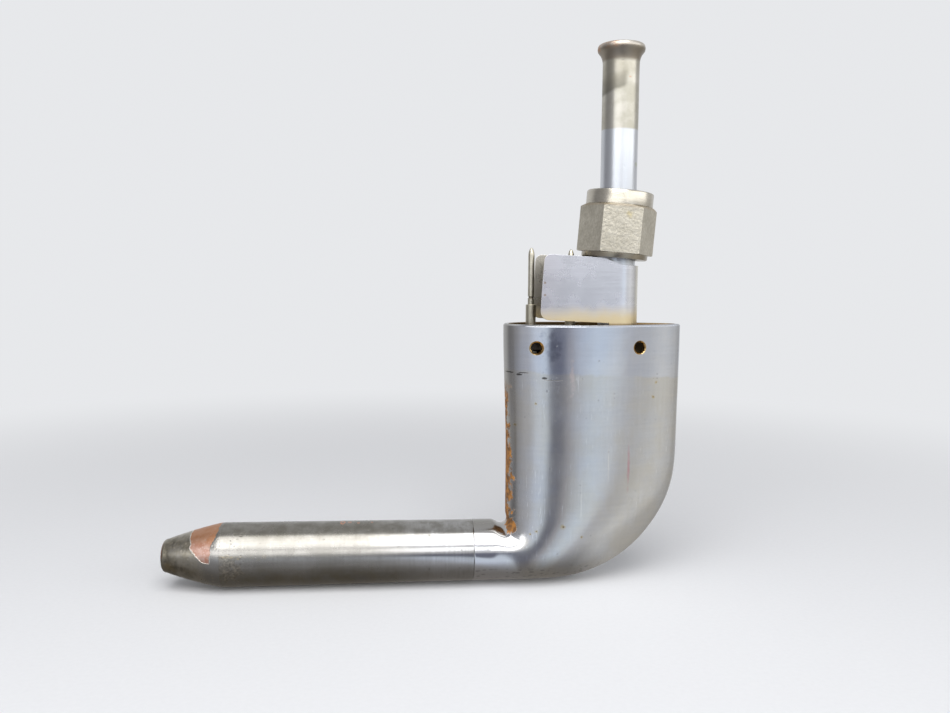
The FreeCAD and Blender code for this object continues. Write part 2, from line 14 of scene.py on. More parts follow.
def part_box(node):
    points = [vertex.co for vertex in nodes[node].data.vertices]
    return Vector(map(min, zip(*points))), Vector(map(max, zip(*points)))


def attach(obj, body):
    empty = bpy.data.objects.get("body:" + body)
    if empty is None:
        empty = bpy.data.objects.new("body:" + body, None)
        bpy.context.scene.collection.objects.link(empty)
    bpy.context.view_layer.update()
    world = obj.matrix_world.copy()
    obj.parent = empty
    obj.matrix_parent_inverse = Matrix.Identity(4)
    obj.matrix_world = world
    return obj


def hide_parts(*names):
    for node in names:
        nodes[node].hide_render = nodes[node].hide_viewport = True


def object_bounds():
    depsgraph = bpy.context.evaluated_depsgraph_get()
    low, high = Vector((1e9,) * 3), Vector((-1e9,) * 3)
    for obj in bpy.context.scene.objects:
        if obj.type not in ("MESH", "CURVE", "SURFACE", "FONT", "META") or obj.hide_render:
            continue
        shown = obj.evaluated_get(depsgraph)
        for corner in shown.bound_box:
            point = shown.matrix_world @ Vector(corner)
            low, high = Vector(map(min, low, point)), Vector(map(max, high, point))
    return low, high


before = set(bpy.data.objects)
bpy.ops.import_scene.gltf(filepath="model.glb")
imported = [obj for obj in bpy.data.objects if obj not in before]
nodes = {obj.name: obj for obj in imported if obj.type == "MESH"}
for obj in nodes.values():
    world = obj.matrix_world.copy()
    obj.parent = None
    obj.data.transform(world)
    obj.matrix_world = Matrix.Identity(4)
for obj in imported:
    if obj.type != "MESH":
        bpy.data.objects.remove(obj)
cad_low, cad_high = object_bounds()
print("solids:", len(nodes), "size in mm:", [round(1000 * (b - a), 1) for a, b in zip(cad_low, cad_high)])

# %% [markdown]
# The camera stands level with the top of the mast, a little to the nose side, and looks along
# the thickness. It is near, as a hand-held camera would be, so the near rim of the mast shows
# lower than the far one. The lens is worked out from a field of view, not from a picture size.

# %% Place the camera
camera_place = (-0.050967, -0.223228, 0.012767)
lens_mm, film_width_mm = 32.21, 36.0


def new_start():
    bpy.ops.object.select_all(action="DESELECT")


view_azimuth, view_elevation, view_roll = (math.radians(a) for a in (-5.0, 5.5, 0.4))
back = Vector((
    math.sin(view_azimuth) * math.cos(view_elevation),
    -math.cos(view_azimuth) * math.cos(view_elevation),
    math.sin(view_elevation),
))
side = Vector((math.cos(view_azimuth), math.sin(view_azimuth), 0.0))
above = back.cross(side)
right = side * math.cos(view_roll) + above * math.sin(view_roll)
up = above * math.cos(view_roll) - side * math.sin(view_roll)
new_start()
bpy.ops.object.camera_add(location=camera_place)
camera = bpy.context.active_object
camera.name = "front_camera"
camera.rotation_euler = Matrix((right, up, back)).transposed().to_euler()
camera.data.sensor_width = film_width_mm
camera.data.lens = lens_mm
camera.data.clip_start = 0.01
bpy.context.scene.camera = camera
print("camera at", [round(v, 3) for v in camera.location])

# %% [markdown]
# A mirror shows its surroundings, so plated metal needs a room to reflect as much as it needs
# light. One large soft lamp hangs above and in front, and draws the long highlight on the
# barrel. A second one is as wide as a row of windows and stands low towards the tail, and a
# small one fills the gap between them, so the upright tubes turn white down their middle. All
# three are big for a part of this size, so every shadow has a soft edge.

# %% Hang the lamps
def add_lamp(name, place, target, width, height, watts):
    new_start()
    bpy.ops.object.light_add(type="AREA", location=place)
    lamp = bpy.context.active_object
    lamp.name = name
    lamp.data.shape = "RECTANGLE"
    lamp.data.size = width
    lamp.data.size_y = height
    lamp.data.energy = watts
    lamp.rotation_euler = (Vector(target) - Vector(place)).to_track_quat("-Z", "Y").to_euler()


middle = (Vector(cad_low) + Vector(cad_high)) / 2
add_lamp("high_lamp", (-0.10, -0.34, 0.51), middle, 0.60, 0.56, 3.7)
add_lamp("front_lamp", (-0.34, -0.72, 0.24), middle, 0.86, 0.22, 1.2)
add_lamp("window_lamp", (0.56, -0.54, 0.30), middle, 1.30, 0.30, 2.4)

# %% [markdown]
# The part stands in a pale room. Polished metal with nothing dark to show looks like chalk, so
# the wall in front of the part, which only its reflections can see, has upright bands: a dark
# one where the maker stands, a blue-white one like a window, and greyer ones between. A colour
# ramp round the compass does this, as a group, so that the wall and the floor share it. In
# front, the bands reach up only a little way, and the wall above them is plain.

# %% Paint the room
def add_node(tree, kind, **settings):
    node = tree.nodes.new(kind)
    for key, value in settings.items():
        setattr(node, key, value)
    return node


def join(source, target):
    """Link two sockets; id_data is the node tree that they both sit in."""
    target.id_data.links.new(source, target)


def feed(socket, value):
    """Give an input a number, a vector, or another node's output."""
    if isinstance(value, bpy.types.NodeSocket):
        join(value, socket)
    else:
        socket.default_value = value


def number(operation, first, second=0.0, third=0.0):
    """A Math node, in the tree of whichever input is linked."""
    linked = next(v for v in (first, second, third) if isinstance(v, bpy.types.NodeSocket))
    node = add_node(linked.id_data, "ShaderNodeMath", operation=operation)
    for socket, value in zip(node.inputs, (first, second, third)):
        feed(socket, value)
    return node.outputs[0]


def plus(first, second):
    return number("ADD", first, second)


def minus(first, second):
    return number("SUBTRACT", first, second)


def times(first, second):
    return number("MULTIPLY", first, second)


def ramp(value, none, full):
    """A smooth step: 0 where the value is at none, and 1 where it is at full."""
    node = add_node(value.id_data, "ShaderNodeMapRange", interpolation_type="SMOOTHSTEP")
    node.inputs["From Min"].default_value = none
    node.inputs["From Max"].default_value = full
    join(value, node.inputs["Value"])
    return node.outputs[0]


def mix_colour(mask, first, second):
    """The first colour where the mask is 0, and the second where it is 1."""
    node = add_node(mask.id_data, "ShaderNodeMix", data_type="RGBA")
    for socket, value in ((node.inputs["A"], first), (node.inputs["B"], second)):
        feed(socket, (*value, 1.0) if isinstance(value, tuple) else value)
    join(mask, node.inputs["Factor"])
    return node.outputs["Result"]


def vector_step(operation, first, second=(0, 0, 0)):
    """A Vector Math node; its length comes out as one number."""
    node = add_node(first.id_data, "ShaderNodeVectorMath", operation=operation)
    for socket, value in zip(node.inputs, (first, second)):
        feed(socket, value)
    return node.outputs["Value"] if operation == "LENGTH" else node.outputs[0]


def noise(place, scale, detail=2.0, roughness=0.5):
    node = add_node(place.id_data, "ShaderNodeTexNoise")
    for label, value in (("Scale", scale), ("Detail", detail), ("Roughness", roughness)):
        feed(node.inputs[label], value)
    join(place, node.inputs["Vector"])
    return node.outputs["Fac"]


def split(place):
    node = add_node(place.id_data, "ShaderNodeSeparateXYZ")
    join(place, node.inputs[0])
    return node.outputs[0], node.outputs[1], node.outputs[2]


def seen_rays(tree):
    """Two masks: rays from the camera, a mirror or glass, and rays from a mirror alone."""
    path = add_node(tree, "ShaderNodeLightPath").outputs
    seen = number("MAXIMUM", path["Is Camera Ray"], path["Is Glossy Ray"])
    return number("MAXIMUM", seen, path["Is Transmission Ray"]), path["Is Glossy Ray"]


wall_paint = (0.80, 0.81, 0.83)
low_rise, high_rise = 0.02, 0.13
nose_side, tail_side = (-62, -34), (125, 95)
bands = [
    (-180, wall_paint), (-132, wall_paint), (-108, (0.33, 0.33, 0.35)), (-78, (0.40, 0.40, 0.42)),
    (-48, (0.54, 0.55, 0.59)), (-26, (0.78, 0.85, 0.97)), (-16, (0.80, 0.88, 0.98)), (-7, (0.20, 0.21, 0.26)),
    (3, (0.19, 0.20, 0.26)), (11, (0.46, 0.46, 0.50)), (20, (0.66, 0.71, 0.80)), (30, (0.80, 0.89, 1.00)),
    (39, (0.82, 0.87, 0.93)), (46, (0.60, 0.60, 0.62)), (54, (0.66, 0.66, 0.66)), (63, (0.84, 0.84, 0.83)),
    (80, (0.68, 0.67, 0.65)), (104, (0.52, 0.51, 0.49)), (132, wall_paint), (180, wall_paint),
]
surroundings = bpy.data.node_groups.new("surroundings", "ShaderNodeTree")
surroundings.interface.new_socket(name="Direction", in_out="INPUT", socket_type="NodeSocketVector")
surroundings.interface.new_socket(name="Color", in_out="OUTPUT", socket_type="NodeSocketColor")
apart = add_node(surroundings, "ShaderNodeSeparateXYZ")
join(add_node(surroundings, "NodeGroupInput").outputs[0], apart.inputs[0])
compass = number("ARCTAN2", apart.outputs[0], times(apart.outputs[1], -1.0))
compass = number("MULTIPLY_ADD", compass, 0.5 / math.pi, 0.5)
painted = add_node(surroundings, "ShaderNodeValToRGB")
painted.color_ramp.interpolation = "EASE"
stops = painted.color_ramp.elements
stops[0].position, stops[0].color = 0.0, (*wall_paint, 1.0)
stops[1].position, stops[1].color = 1.0, (*wall_paint, 1.0)
for heading, paint in bands[1:-1]:
    stops.new(heading / 360 + 0.5).color = (*paint, 1.0)
join(compass, painted.inputs["Fac"])
raised = ramp(apart.outputs[2], low_rise, high_rise)
for outer_heading, inner_heading in (nose_side, tail_side):
    raised = times(raised, ramp(compass, 0.5 + outer_heading / 360, 0.5 + inner_heading / 360))
whole = mix_colour(raised, painted.outputs["Color"], wall_paint)
join(whole, add_node(surroundings, "NodeGroupOutput").inputs[0])

world = bpy.data.worlds.new("pale_room")
bpy.context.scene.world = world
world.use_nodes = True
room = world.node_tree
room.nodes.clear()
wall = add_node(room, "ShaderNodeGroup", node_tree=surroundings)
join(add_node(room, "ShaderNodeTexCoord").outputs["Generated"], wall.inputs[0])
seen, mirrored = seen_rays(room)
pale = add_node(room, "ShaderNodeBackground")
join(mix_colour(mirrored, wall_paint, wall.outputs[0]), pale.inputs["Color"])
fill = add_node(room, "ShaderNodeBackground")
fill.inputs["Color"].default_value = (0.30, 0.305, 0.32, 1.0)
blend = add_node(room, "ShaderNodeMixShader")
join(seen, blend.inputs["Fac"])
join(fill.outputs[0], blend.inputs[1])
join(pale.outputs[0], blend.inputs[2])
join(blend.outputs[0], add_node(room, "ShaderNodeOutputWorld").inputs["Surface"])
bpy.context.scene.view_settings.view_transform = "Standard"
print("bands of the wall:", len(bands), "world nodes:", len(room.nodes))

# %% [markdown]
# The floor is a plain pale sheet just under the bend of the mast. A flat sheet meets the wall
# in a hard line, so its far part fades to the wall's own colour, and only the near part takes
# the shadow. Reflections see that fade much nearer, and close round the part they see a painted
# shade in dark grey-brown, so that the underside of the barrel darkens as over any real bench.

# %% Lay the floor
def edit_all():
    bpy.ops.object.mode_set(mode="EDIT")
    bpy.ops.mesh.select_all(action="SELECT")


def leave_edit():
    bpy.ops.object.mode_set(mode="OBJECT")


floor_gap, floor_width = 0.0003, 6.0
fade_start, fade_end = 0.10, 0.40
floor_z = cad_low[2] - floor_gap
new_start()
bpy.ops.mesh.primitive_plane_add(size=floor_width, location=(0.0, 0.0, floor_z))
floor = bpy.context.active_object
floor.name = "floor"
paper = bpy.data.materials.new("pale_paper")
paper.use_nodes = True
tree = paper.node_tree
shade = tree.nodes["Principled BSDF"]
shade.inputs["Roughness"].default_value = 0.9
shade.inputs["Specular IOR Level"].default_value = 0.2
where = add_node(tree, "ShaderNodeTexCoord").outputs["Object"]
grain = noise(where, 900.0)
join(mix_colour(grain, (0.76, 0.765, 0.78), (0.80, 0.805, 0.82)), shade.inputs["Base Color"])
distance = vector_step("LENGTH", vector_step("SUBTRACT", where, (-0.045, 0.0, 0.0)))
floor_x, floor_y, _ = split(where)
aside = number("ABSOLUTE", floor_y)
far_wall = add_node(tree, "ShaderNodeGroup", node_tree=surroundings)
join(vector_step("SUBTRACT", where, (-0.018, 0.0, 0.0)), far_wall.inputs[0])
# Painted shade: near the part, mirrored rays see a dark grey-brown floor instead of the wall's bands.
under_tail = times(ramp(floor_x, -0.006, 0.012), 0.75)
unshaded_floor = number("MAXIMUM", ramp(aside, 0.006, 0.023), under_tail)
mirrored_shade_and_wall = mix_colour(unshaded_floor, (0.22, 0.205, 0.19), far_wall.outputs[0])
seen, mirrored = seen_rays(tree)
glow = add_node(tree, "ShaderNodeEmission")
join(mix_colour(mirrored, wall_paint, mirrored_shade_and_wall), glow.inputs["Color"])
fade = times(seen, ramp(distance, fade_start, fade_end))
fade = number("MAXIMUM", fade, mirrored)
floor_blend = add_node(tree, "ShaderNodeMixShader")
join(fade, floor_blend.inputs["Fac"])
join(shade.outputs[0], floor_blend.inputs[1])
join(glow.outputs[0], floor_blend.inputs[2])
join(floor_blend.outputs[0], tree.nodes["Material Output"].inputs["Surface"])
floor.data.materials.append(paper)
print("floor at", round(1000 * floor_z, 2), "mm")

# %% [markdown]
# Most pieces here are either stacked rings or turned shapes, so two helpers come first. A ring
# stack starts as a circle, is extruded once for each further ring, and then every ring takes its
# own outline. A turned piece starts as a circle too, which takes the outline of half a section
# and is spun about its axis, as on a lathe.

# %% Helpers for shaping
MM = 0.001
AXIS_X, AXIS_Y, AXIS_Z = Vector((1, 0, 0)), Vector((0, 1, 0)), Vector((0, 0, 1))


def stack_rings(name, rings):
    """A tube through a list of rings, which all have the same number of points."""
    count = len(rings[0])
    new_start()
    bpy.ops.mesh.primitive_circle_add(vertices=count, radius=1.0)
    tube = bpy.context.active_object
    tube.name = tube.data.name = name
    edit_all()
    for _ in rings[1:]:
        bpy.ops.mesh.extrude_region_move(TRANSFORM_OT_translate={"value": (0, 0, 1)})
    leave_edit()
    for vertex in tube.data.vertices:
        turn = math.atan2(vertex.co.y, vertex.co.x) / (2 * math.pi) * count
        vertex.co = rings[round(vertex.co.z)][round(turn) % count]
    return tube


def turn_on_lathe(name, outline, axis, centre, steps=128):
    """Spin a closed outline about an axis."""
    new_start()
    bpy.ops.mesh.primitive_circle_add(vertices=len(outline), radius=1.0)
    piece = bpy.context.active_object
    piece.name = piece.data.name = name
    for vertex, point in zip(piece.data.vertices, outline):
        vertex.co = point
    edit_all()
    bpy.ops.mesh.spin(steps=steps, angle=2 * math.pi, center=centre, axis=axis)
    bpy.ops.mesh.select_all(action="SELECT")
    bpy.ops.mesh.remove_doubles(threshold=1e-6)
    bpy.ops.mesh.normals_make_consistent(inside=False)
    leave_edit()
    return piece


def apply_modifier(piece, kind, **settings):
    new_start()
    piece.select_set(True)
    bpy.context.view_layer.objects.active = piece
    modifier = piece.modifiers.new(kind.lower(), kind)
    for key, value in settings.items():
        setattr(modifier, key, value)
    bpy.ops.object.modifier_apply(modifier=modifier.name)


def carve(piece, tool, operation="DIFFERENCE"):
    """Cut, join or intersect with a tool, which is used up."""
    apply_modifier(piece, "BOOLEAN", operation=operation, object=tool, solver="EXACT")
    bpy.data.objects.remove(tool, do_unlink=True)


def round_edges(piece, width_mm, degrees):
    """Round every edge that is sharper than an angle."""
    apply_modifier(
        piece, "BEVEL", width=width_mm * MM, segments=2, limit_method="ANGLE",
        angle_limit=math.radians(degrees),
    )


def smooth_by_angle(piece, degrees=30.0):
    new_start()
    piece.select_set(True)
    bpy.context.view_layer.objects.active = piece
    bpy.ops.object.shade_smooth_by_angle(angle=math.radians(degrees))


def settle(piece):
    """Freeze a piece's turn and place, so that its origin is the part's own."""
    new_start()
    piece.select_set(True)
    bpy.context.view_layer.objects.active = piece
    bpy.ops.object.transform_apply(location=True, rotation=True, scale=True)


def faces_of(piece):
    return f"{piece.name}: {len(piece.data.polygons)} faces"


# %% [markdown]
# The mast is a hollow streamlined strut that leans into a round stub, cast or drawn in one and
# then polished, so its skin has no seam at all. It could be cut from a block or bent with a
# modifier, but the section changes all the way: blunt in front, full, and a softer tail, then
# a fan of sections about the inner corner, and at last a circle. So each section is drawn by its
# own rule, and a subdivision surface flows through them.

# %% Measure the mast
mast_low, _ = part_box("mast")
barrel_low, barrel_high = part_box("barrel_tube")
axis_z = (barrel_low.z + barrel_high.z) / 2 / MM
chord, thickness, fullness = 48.0, 19.5, 0.38
stub_radius = axis_z - mast_low.z / MM
stub_end = barrel_high.x / MM
bend_radius = 33.75
bend_centre_x = chord / 2 - 0.3 - bend_radius
bend_centre_z = axis_z - stub_radius + bend_radius
corner_x, corner_z = -chord / 2 + 1.0 - 3.5, axis_z + stub_radius + 2.5
fan_start, fan_swell = 3.5, 1.8
SECTION_POINTS = 48
print("stub radius", round(stub_radius, 2), "ends at", round(stub_end, 2), "mm, axis at", round(axis_z, 2))


def ease(share):
    share = min(max(share, 0.0), 1.0)
    return share * share * (3 - 2 * share)


def section(origin, along, start, end, thick, full):
    """A streamlined outline from start to end along a direction, in metres."""
    angles = [2 * math.pi * i / SECTION_POINTS for i in range(SECTION_POINTS)]
    shape = [math.sin(a) * (1 + full * math.cos(a)) for a in angles]
    scale = thick / 2 / max(shape)
    return [
        (origin + along * (start + (end - start) * (1 - math.cos(a)) / 2) + AXIS_Y * scale * s) * MM
        for a, s in zip(angles, shape)
    ]


def strut(z, inset=0.0):
    share = ease(min(z, 0.0) / bend_centre_z)
    front = -chord / 2 + 1.0 * share
    rear = chord / 2 - 0.3 * share
    if z < bend_centre_z:
        rear = bend_centre_x + math.sqrt(bend_radius**2 - (z - bend_centre_z) ** 2)
    place = Vector((0, 0, z))
    return section(place, AXIS_X, front + inset, rear - inset, thickness - 2 * inset, fullness)


def bend_reach(angle):
    dx, dz = math.cos(angle), -math.sin(angle)
    off_x, off_z = corner_x - bend_centre_x, corner_z - bend_centre_z
    along = off_x * dx + off_z * dz
    reach = -along + math.sqrt(along**2 - off_x**2 - off_z**2 + bend_radius**2)
    if corner_x + reach * dx < bend_centre_x:
        reach = (corner_z - (axis_z - stub_radius)) / math.sin(angle)
    return reach


def fan(turned, inset=0.0):
    angle = turned * math.pi / 2
    start = fan_start - turned + fan_swell * math.sin(2 * angle) ** 2
    thick = thickness + (2 * stub_radius - thickness) * turned**1.5
    return section(
        Vector((corner_x, 0, corner_z)), Vector((math.cos(angle), 0, -math.sin(angle))),
        start + inset, bend_reach(angle) - inset, thick - 2 * inset, fullness * (1 - ease(turned)),
    )


def stub(x, radius):
    return section(Vector((x, 0, axis_z)), -AXIS_Z, -radius, radius, 2 * radius, 0.0)


# %% [markdown]
# The rings run as one closed loop: down the outside, round the spigot that holds the barrel,
# back up the inside wall, and out over the ledge that carries the top plate. At each corner two
# rings lie close together, because a subdivision surface is only as crisp as its nearest rings.

# %% Build the mast
spigot, spigot_bore, cavity_radius = 6.75, 5.6, 5.85
wall, ledge = 2.0, 1.4
rim = [strut(-0.14, ledge), strut(0, 1.26), strut(0, 0.5), strut(0, 0.4), strut(-0.05, 0.33)]
rim += [strut(-0.34, 0.06), strut(-0.4, 0.0), strut(-0.5)]
outside = [strut(z) for z in (-1.4, -3, -5, -7, -9, -11.5, -15, -20, -25.2, -30.4)]
outside += [strut(z) for z in (bend_centre_z, bend_centre_z - 5, bend_centre_z - 10)]
outside += [fan(i / 9) for i in range(9)]
outside += [stub(x, stub_radius) for x in (corner_x, -28.3, -30.1, -31.4, -31.72)]
stub_face = [stub(stub_end + 0.08, stub_radius - 0.03), stub(stub_end, stub_radius - 0.14)]
stub_face += [stub(stub_end, stub_radius - 0.3), stub(stub_end, spigot + 0.1)]
spigot_end = mast_low.x / MM
plug = [stub(stub_end - 0.1, spigot), stub(spigot_end + 0.3, spigot), stub(spigot_end, spigot - 0.2)]
plug += [stub(spigot_end, spigot_bore + 0.2), stub(spigot_end + 0.3, spigot_bore)]
plug += [stub(stub_end - 0.2, spigot_bore), stub(stub_end + 0.2, cavity_radius)]
inside = [stub(corner_x, cavity_radius), fan(7 / 9, wall), fan(5 / 9, wall), fan(3 / 9, wall)]
inside += [fan(1 / 9, wall), strut(bend_centre_z - 6, wall), strut(bend_centre_z + 8, wall)]
inside += [strut(-14, wall), strut(-8, wall), strut(-4.5, wall), strut(-4.2, 1.95)]
inside += [strut(-4.2, 1.5), strut(-4.05, ledge), strut(-2.8, ledge), strut(-1.0, ledge)]
mast = stack_rings("mast_shell", rim + outside + stub_face + plug + inside)
edit_all()
bpy.ops.mesh.select_all(action="DESELECT")
bpy.ops.mesh.select_non_manifold()
bpy.ops.mesh.bridge_edge_loops()
bpy.ops.mesh.select_all(action="SELECT")
bpy.ops.mesh.normals_make_consistent(inside=False)
leave_edit()
apply_modifier(mast, "SUBSURF", levels=2, render_levels=2)
print(faces_of(mast))

# %% [markdown]
# Two tapped screw holes go through each side near the rim. Each hole runs straight across, but
# its countersink is square to the skin, which falls away towards both edges. The cutter carries
# the thread as a row of grooves, which reads as thread at this size and stays light.

# %% Drill the screw holes
def half_thickness(x, z=-5.9):
    ring = strut(z)
    upper = ring[: SECTION_POINTS // 2 + 1]
    for a, b in zip(upper, upper[1:]):
        if a.x <= x * MM <= b.x:
            share = (x * MM - a.x) / (b.x - a.x)
            return (a.y + (b.y - a.y) * share) / MM
    raise ValueError(x)


def thread_cutter(length, crest, root, pitch):
    """A rod along Z from the origin, with one groove a turn."""
    outline = [Vector((0, 0, 0)), Vector((crest, 0, 0))]
    for turn in range(int(length / pitch)):
        low = turn * pitch
        outline.append(Vector((root, 0, low + 0.45 * pitch)))
        outline.append(Vector((crest, 0, low + 0.95 * pitch)))
    outline += [Vector((crest, 0, length)), Vector((0, 0, length))]
    return turn_on_lathe("thread_cutter", [p * MM for p in outline], AXIS_Z, (0, 0, 0), 48)


screw_places = [(-16.3, -5.9), (11.2, -5.9)]
screw_radius, screw_crest, screw_pitch = 1.68, 1.45, 0.6
drill_length, drill_start = 8.0, 3.0
for hole_x, hole_z in screw_places:
    skin_y = half_thickness(hole_x)
    slope = half_thickness(hole_x + 0.5) - half_thickness(hole_x - 0.5)
    for facing in (-1, 1):
        drill = thread_cutter(drill_length, screw_crest, screw_radius, screw_pitch)
        drill.rotation_euler = (-facing * math.pi / 2, 0, 0)
        drill.location = Vector((hole_x, facing * drill_start, hole_z)) * MM
        settle(drill)
        carve(mast, drill)
        normal = Vector((-slope, facing, 0)).normalized()
        cone = [(0, -0.42), (1.43, -0.42), (2.93, 1.08), (0, 1.08)]
        sink = turn_on_lathe(
            "sink_cutter", [Vector((r, 0, z)) * MM for r, z in cone], AXIS_Z, (0, 0, 0), 64
        )
        sink.rotation_euler = normal.to_track_quat("Z", "Y").to_euler()
        sink.location = Vector((hole_x, facing * skin_y, hole_z)) * MM
        settle(sink)
        carve(mast, sink)
smooth_by_angle(mast, 32)
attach(mast, "head")
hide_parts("mast")
print(faces_of(mast))

# %% [markdown]
# The barrel is a plain turned tube that widens a little towards the nose. Its rear edge is
# broken by a hair, and so is the stub's, so the joint between them shows as one fine dark line.

# %% Turn the barrel
def on_barrel(points):
    return [Vector((x, 0, axis_z + r)) * MM for x, r in points]


barrel_axis = (0, 0, axis_z * MM)
front_x, rear_x = barrel_low.x / MM, barrel_high.x / MM
front_radius = (barrel_high.z - barrel_low.z) / 2 / MM
barrel_bore = 6.8
taper = (front_radius - stub_radius) / (rear_x - front_x)
wall_steps = [rear_x + (front_x - rear_x) * i / 12 for i in range(1, 12)]
outer = [(rear_x, stub_radius - 0.13), (rear_x - 0.03, stub_radius - 0.05), (rear_x - 0.13, stub_radius)]
outer += [(x, stub_radius + taper * (rear_x - x)) for x in wall_steps]
outer += [(front_x + 0.02, front_radius), (front_x, front_radius - 0.015)]
outline = outer + [(front_x, barrel_bore), (rear_x, barrel_bore)]
barrel = turn_on_lathe("barrel_shell", on_barrel(outline), AXIS_X, barrel_axis, 144)
smooth_by_angle(barrel, 20)
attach(barrel, "head")
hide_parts("barrel_tube")
print(faces_of(barrel))

# %% [markdown]
# The nose is the part that meets the air: a tapered cap whose side leaves the barrel gently and
# bulges slightly, a rounded tip and an intake with a small lip. A drain hole goes up into it
# from below. Years of heating and rain have worn the nickel through to the copper under it.

# %% Turn the nose
nose_low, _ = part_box("nose_cap")
tip_x = nose_low.x / MM
tip_radius, tip_round, intake, bulge, eased_share = 4.35, 1.1, 2.75, 0.35, 0.11
socket_bore, socket_depth, throat_bore, throat_length = 6.75, 6.0, 3.22, 9.0
drain_radius, drain_depth, drain_setback, drain_drop = 0.6, 9.0, 7.0, 10.5
round_start = tip_x + tip_round
chord_x, chord_r = front_x - round_start, front_radius - tip_radius
side_points = []
start_slope = chord_r - 4 * bulge
for i in range(25):
    share = (i / 24) ** 1.5
    x = front_x - chord_x * share
    radius = front_radius - chord_r * share + 4 * bulge * share * (1 - share)
    radius += start_slope * share * math.exp(-share / eased_share)
    side_points.append((x, radius))
side_points[0] = (front_x - 0.02, front_radius)
side_points.insert(0, (front_x, front_radius - 0.012))
tip_points = []
for i in range(1, 9):
    angle = math.radians(90 * i / 8)
    x = round_start - tip_round * math.sin(angle)
    tip_points.append((x, tip_radius - tip_round * (1 - math.cos(angle))))
lip = [(tip_x, intake + 0.4), (tip_x + 0.1, intake + 0.14), (tip_x + 0.35, intake)]
socket_end = front_x + socket_depth
throat_end = socket_end - throat_length
socket = [(throat_end, intake), (throat_end, throat_bore), (socket_end, throat_bore)]
socket += [(socket_end, socket_bore), (front_x, socket_bore)]
nose_outline = on_barrel(side_points + tip_points + lip + socket)
nose = turn_on_lathe("nose_shell", nose_outline, AXIS_X, barrel_axis, 144)
drain_outline = [(0, 0), (drain_radius, 0), (drain_radius, drain_depth), (0, drain_depth)]
drain = turn_on_lathe(
    "drain_drill", [Vector((r, 0, z)) * MM for r, z in drain_outline], AXIS_Z, (0, 0, 0), 32
)
drain.location = Vector((tip_x + drain_setback, 0, axis_z - drain_drop)) * MM
settle(drain)
carve(nose, drain)
smooth_by_angle(nose)
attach(nose, "head")
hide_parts("nose_cap")
print(faces_of(nose))

# %% [markdown]
# The riser is a thin tube whose top is flared so that a nut can pull it onto a cone. The flare
# was rolled, so its mouth is round and thick instead of sharp.

# %% Turn the riser
riser_low, riser_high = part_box("riser_tube")
riser_x = (riser_low.x + riser_high.x) / 2 / MM
riser_top = riser_high.z / MM
flare = (riser_high.x - riser_low.x) / 2 / MM
tube_radius, tube_bore = 4.7625, 3.8735
riser_foot = riser_low.z / MM
flare_outline = [
    (tube_radius, riser_foot + 0.2), (tube_radius, -1.0), (tube_radius, 20.0), (tube_radius, 45.0),
    (tube_radius, riser_top - 5.0), (tube_radius + 0.04, riser_top - 4.2),
    (tube_radius + 0.2, riser_top - 3.4), (tube_radius + 0.55, riser_top - 2.55),
    (flare - 0.35, riser_top - 1.95), (flare - 0.1, riser_top - 1.6), (flare, riser_top - 1.15),
    (flare, riser_top - 0.75), (flare - 0.08, riser_top - 0.42), (flare - 0.24, riser_top - 0.14),
    (flare - 0.45, riser_top), (flare - 0.75, riser_top - 0.02), (flare - 1.0, riser_top - 0.22),
    (flare - 1.3, riser_top - 0.75), (tube_bore + 0.45, riser_top - 2.0),
    (tube_bore + 0.1, riser_top - 3.0), (tube_bore, riser_top - 4.0), (tube_bore, 20.0),
    (tube_bore, riser_foot + 0.2), (tube_bore + 0.2, riser_foot), (tube_radius - 0.2, riser_foot),
]
riser = turn_on_lathe(
    "riser_pipe", [Vector((riser_x + r, 0, z)) * MM for r, z in flare_outline],
    AXIS_Z, (riser_x * MM, 0, 0), 96,
)
smooth_by_angle(riser, 40)
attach(riser, "head")
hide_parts("riser_tube")
print(faces_of(riser))

# %% [markdown]
# The coupling nut is loose on the riser and leans on the guard below it. It has six flats
# between a turned collar and a washer face, with the corners of the hexagon turned off. The
# quick way would be a cylinder with six sides; here the hexagon is intersected with a turned
# body, as the real one is made, so the corners get their curved chamfers.

# %% Make the nut
nut_low, nut_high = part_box("coupling_nut")
nut_middle = (nut_low + nut_high) / 2
flats, nut_length, collar_radius, collar_height = 17.4625, 17.5, 8.75, 3.8
washer_radius, washer_height, nut_tilt, nut_turn = 8.65, 1.4, 4.6, -5.8
hex_low, hex_high = washer_height, nut_length - collar_height
hex_corner = flats / math.sqrt(3)
new_start()
bpy.ops.mesh.primitive_cylinder_add(
    vertices=6, radius=hex_corner * MM, depth=(hex_high - hex_low) * MM,
    location=(0, 0, (hex_high + hex_low) / 2 * MM), rotation=(0, 0, math.radians(nut_turn + 90)),
)
nut = bpy.context.active_object
nut.name = nut.data.name = "coupling_nut_body"
settle(nut)


def nut_turning(name, outline, steps=120):
    return turn_on_lathe(name, [Vector((r, 0, z)) * MM for r, z in outline], AXIS_Z, (0, 0, 0), steps)


corner_cut, corner_slope, root_radius = 1.1, math.radians(30), 8.3
drop = corner_cut * math.tan(corner_slope)
carve(nut, nut_turning("corner_turning", [
    (0, hex_low), (hex_corner - 0.3, hex_low), (hex_corner, hex_low + 0.3 * drop),
    (hex_corner, hex_high - drop), (hex_corner - corner_cut, hex_high), (0, hex_high),
]), "INTERSECT")
carve(nut, nut_turning("collar_turning", [
    (0, hex_high - 1.0), (root_radius, hex_high - 1.0), (root_radius, hex_high),
    (collar_radius - 0.12, hex_high + 0.02), (collar_radius, hex_high + 0.16),
    (collar_radius, nut_length - 0.5), (collar_radius - 0.14, nut_length - 0.16),
    (collar_radius - 0.45, nut_length), (0, nut_length),
]), "UNION")
carve(nut, nut_turning("washer_turning", [
    (0, 0), (washer_radius - 0.45, 0), (washer_radius - 0.12, 0.12), (washer_radius, 0.45),
    (washer_radius, hex_low - 0.02), (root_radius, hex_low), (root_radius, hex_low + 1.0),
    (0, hex_low + 1.0),
]), "UNION")
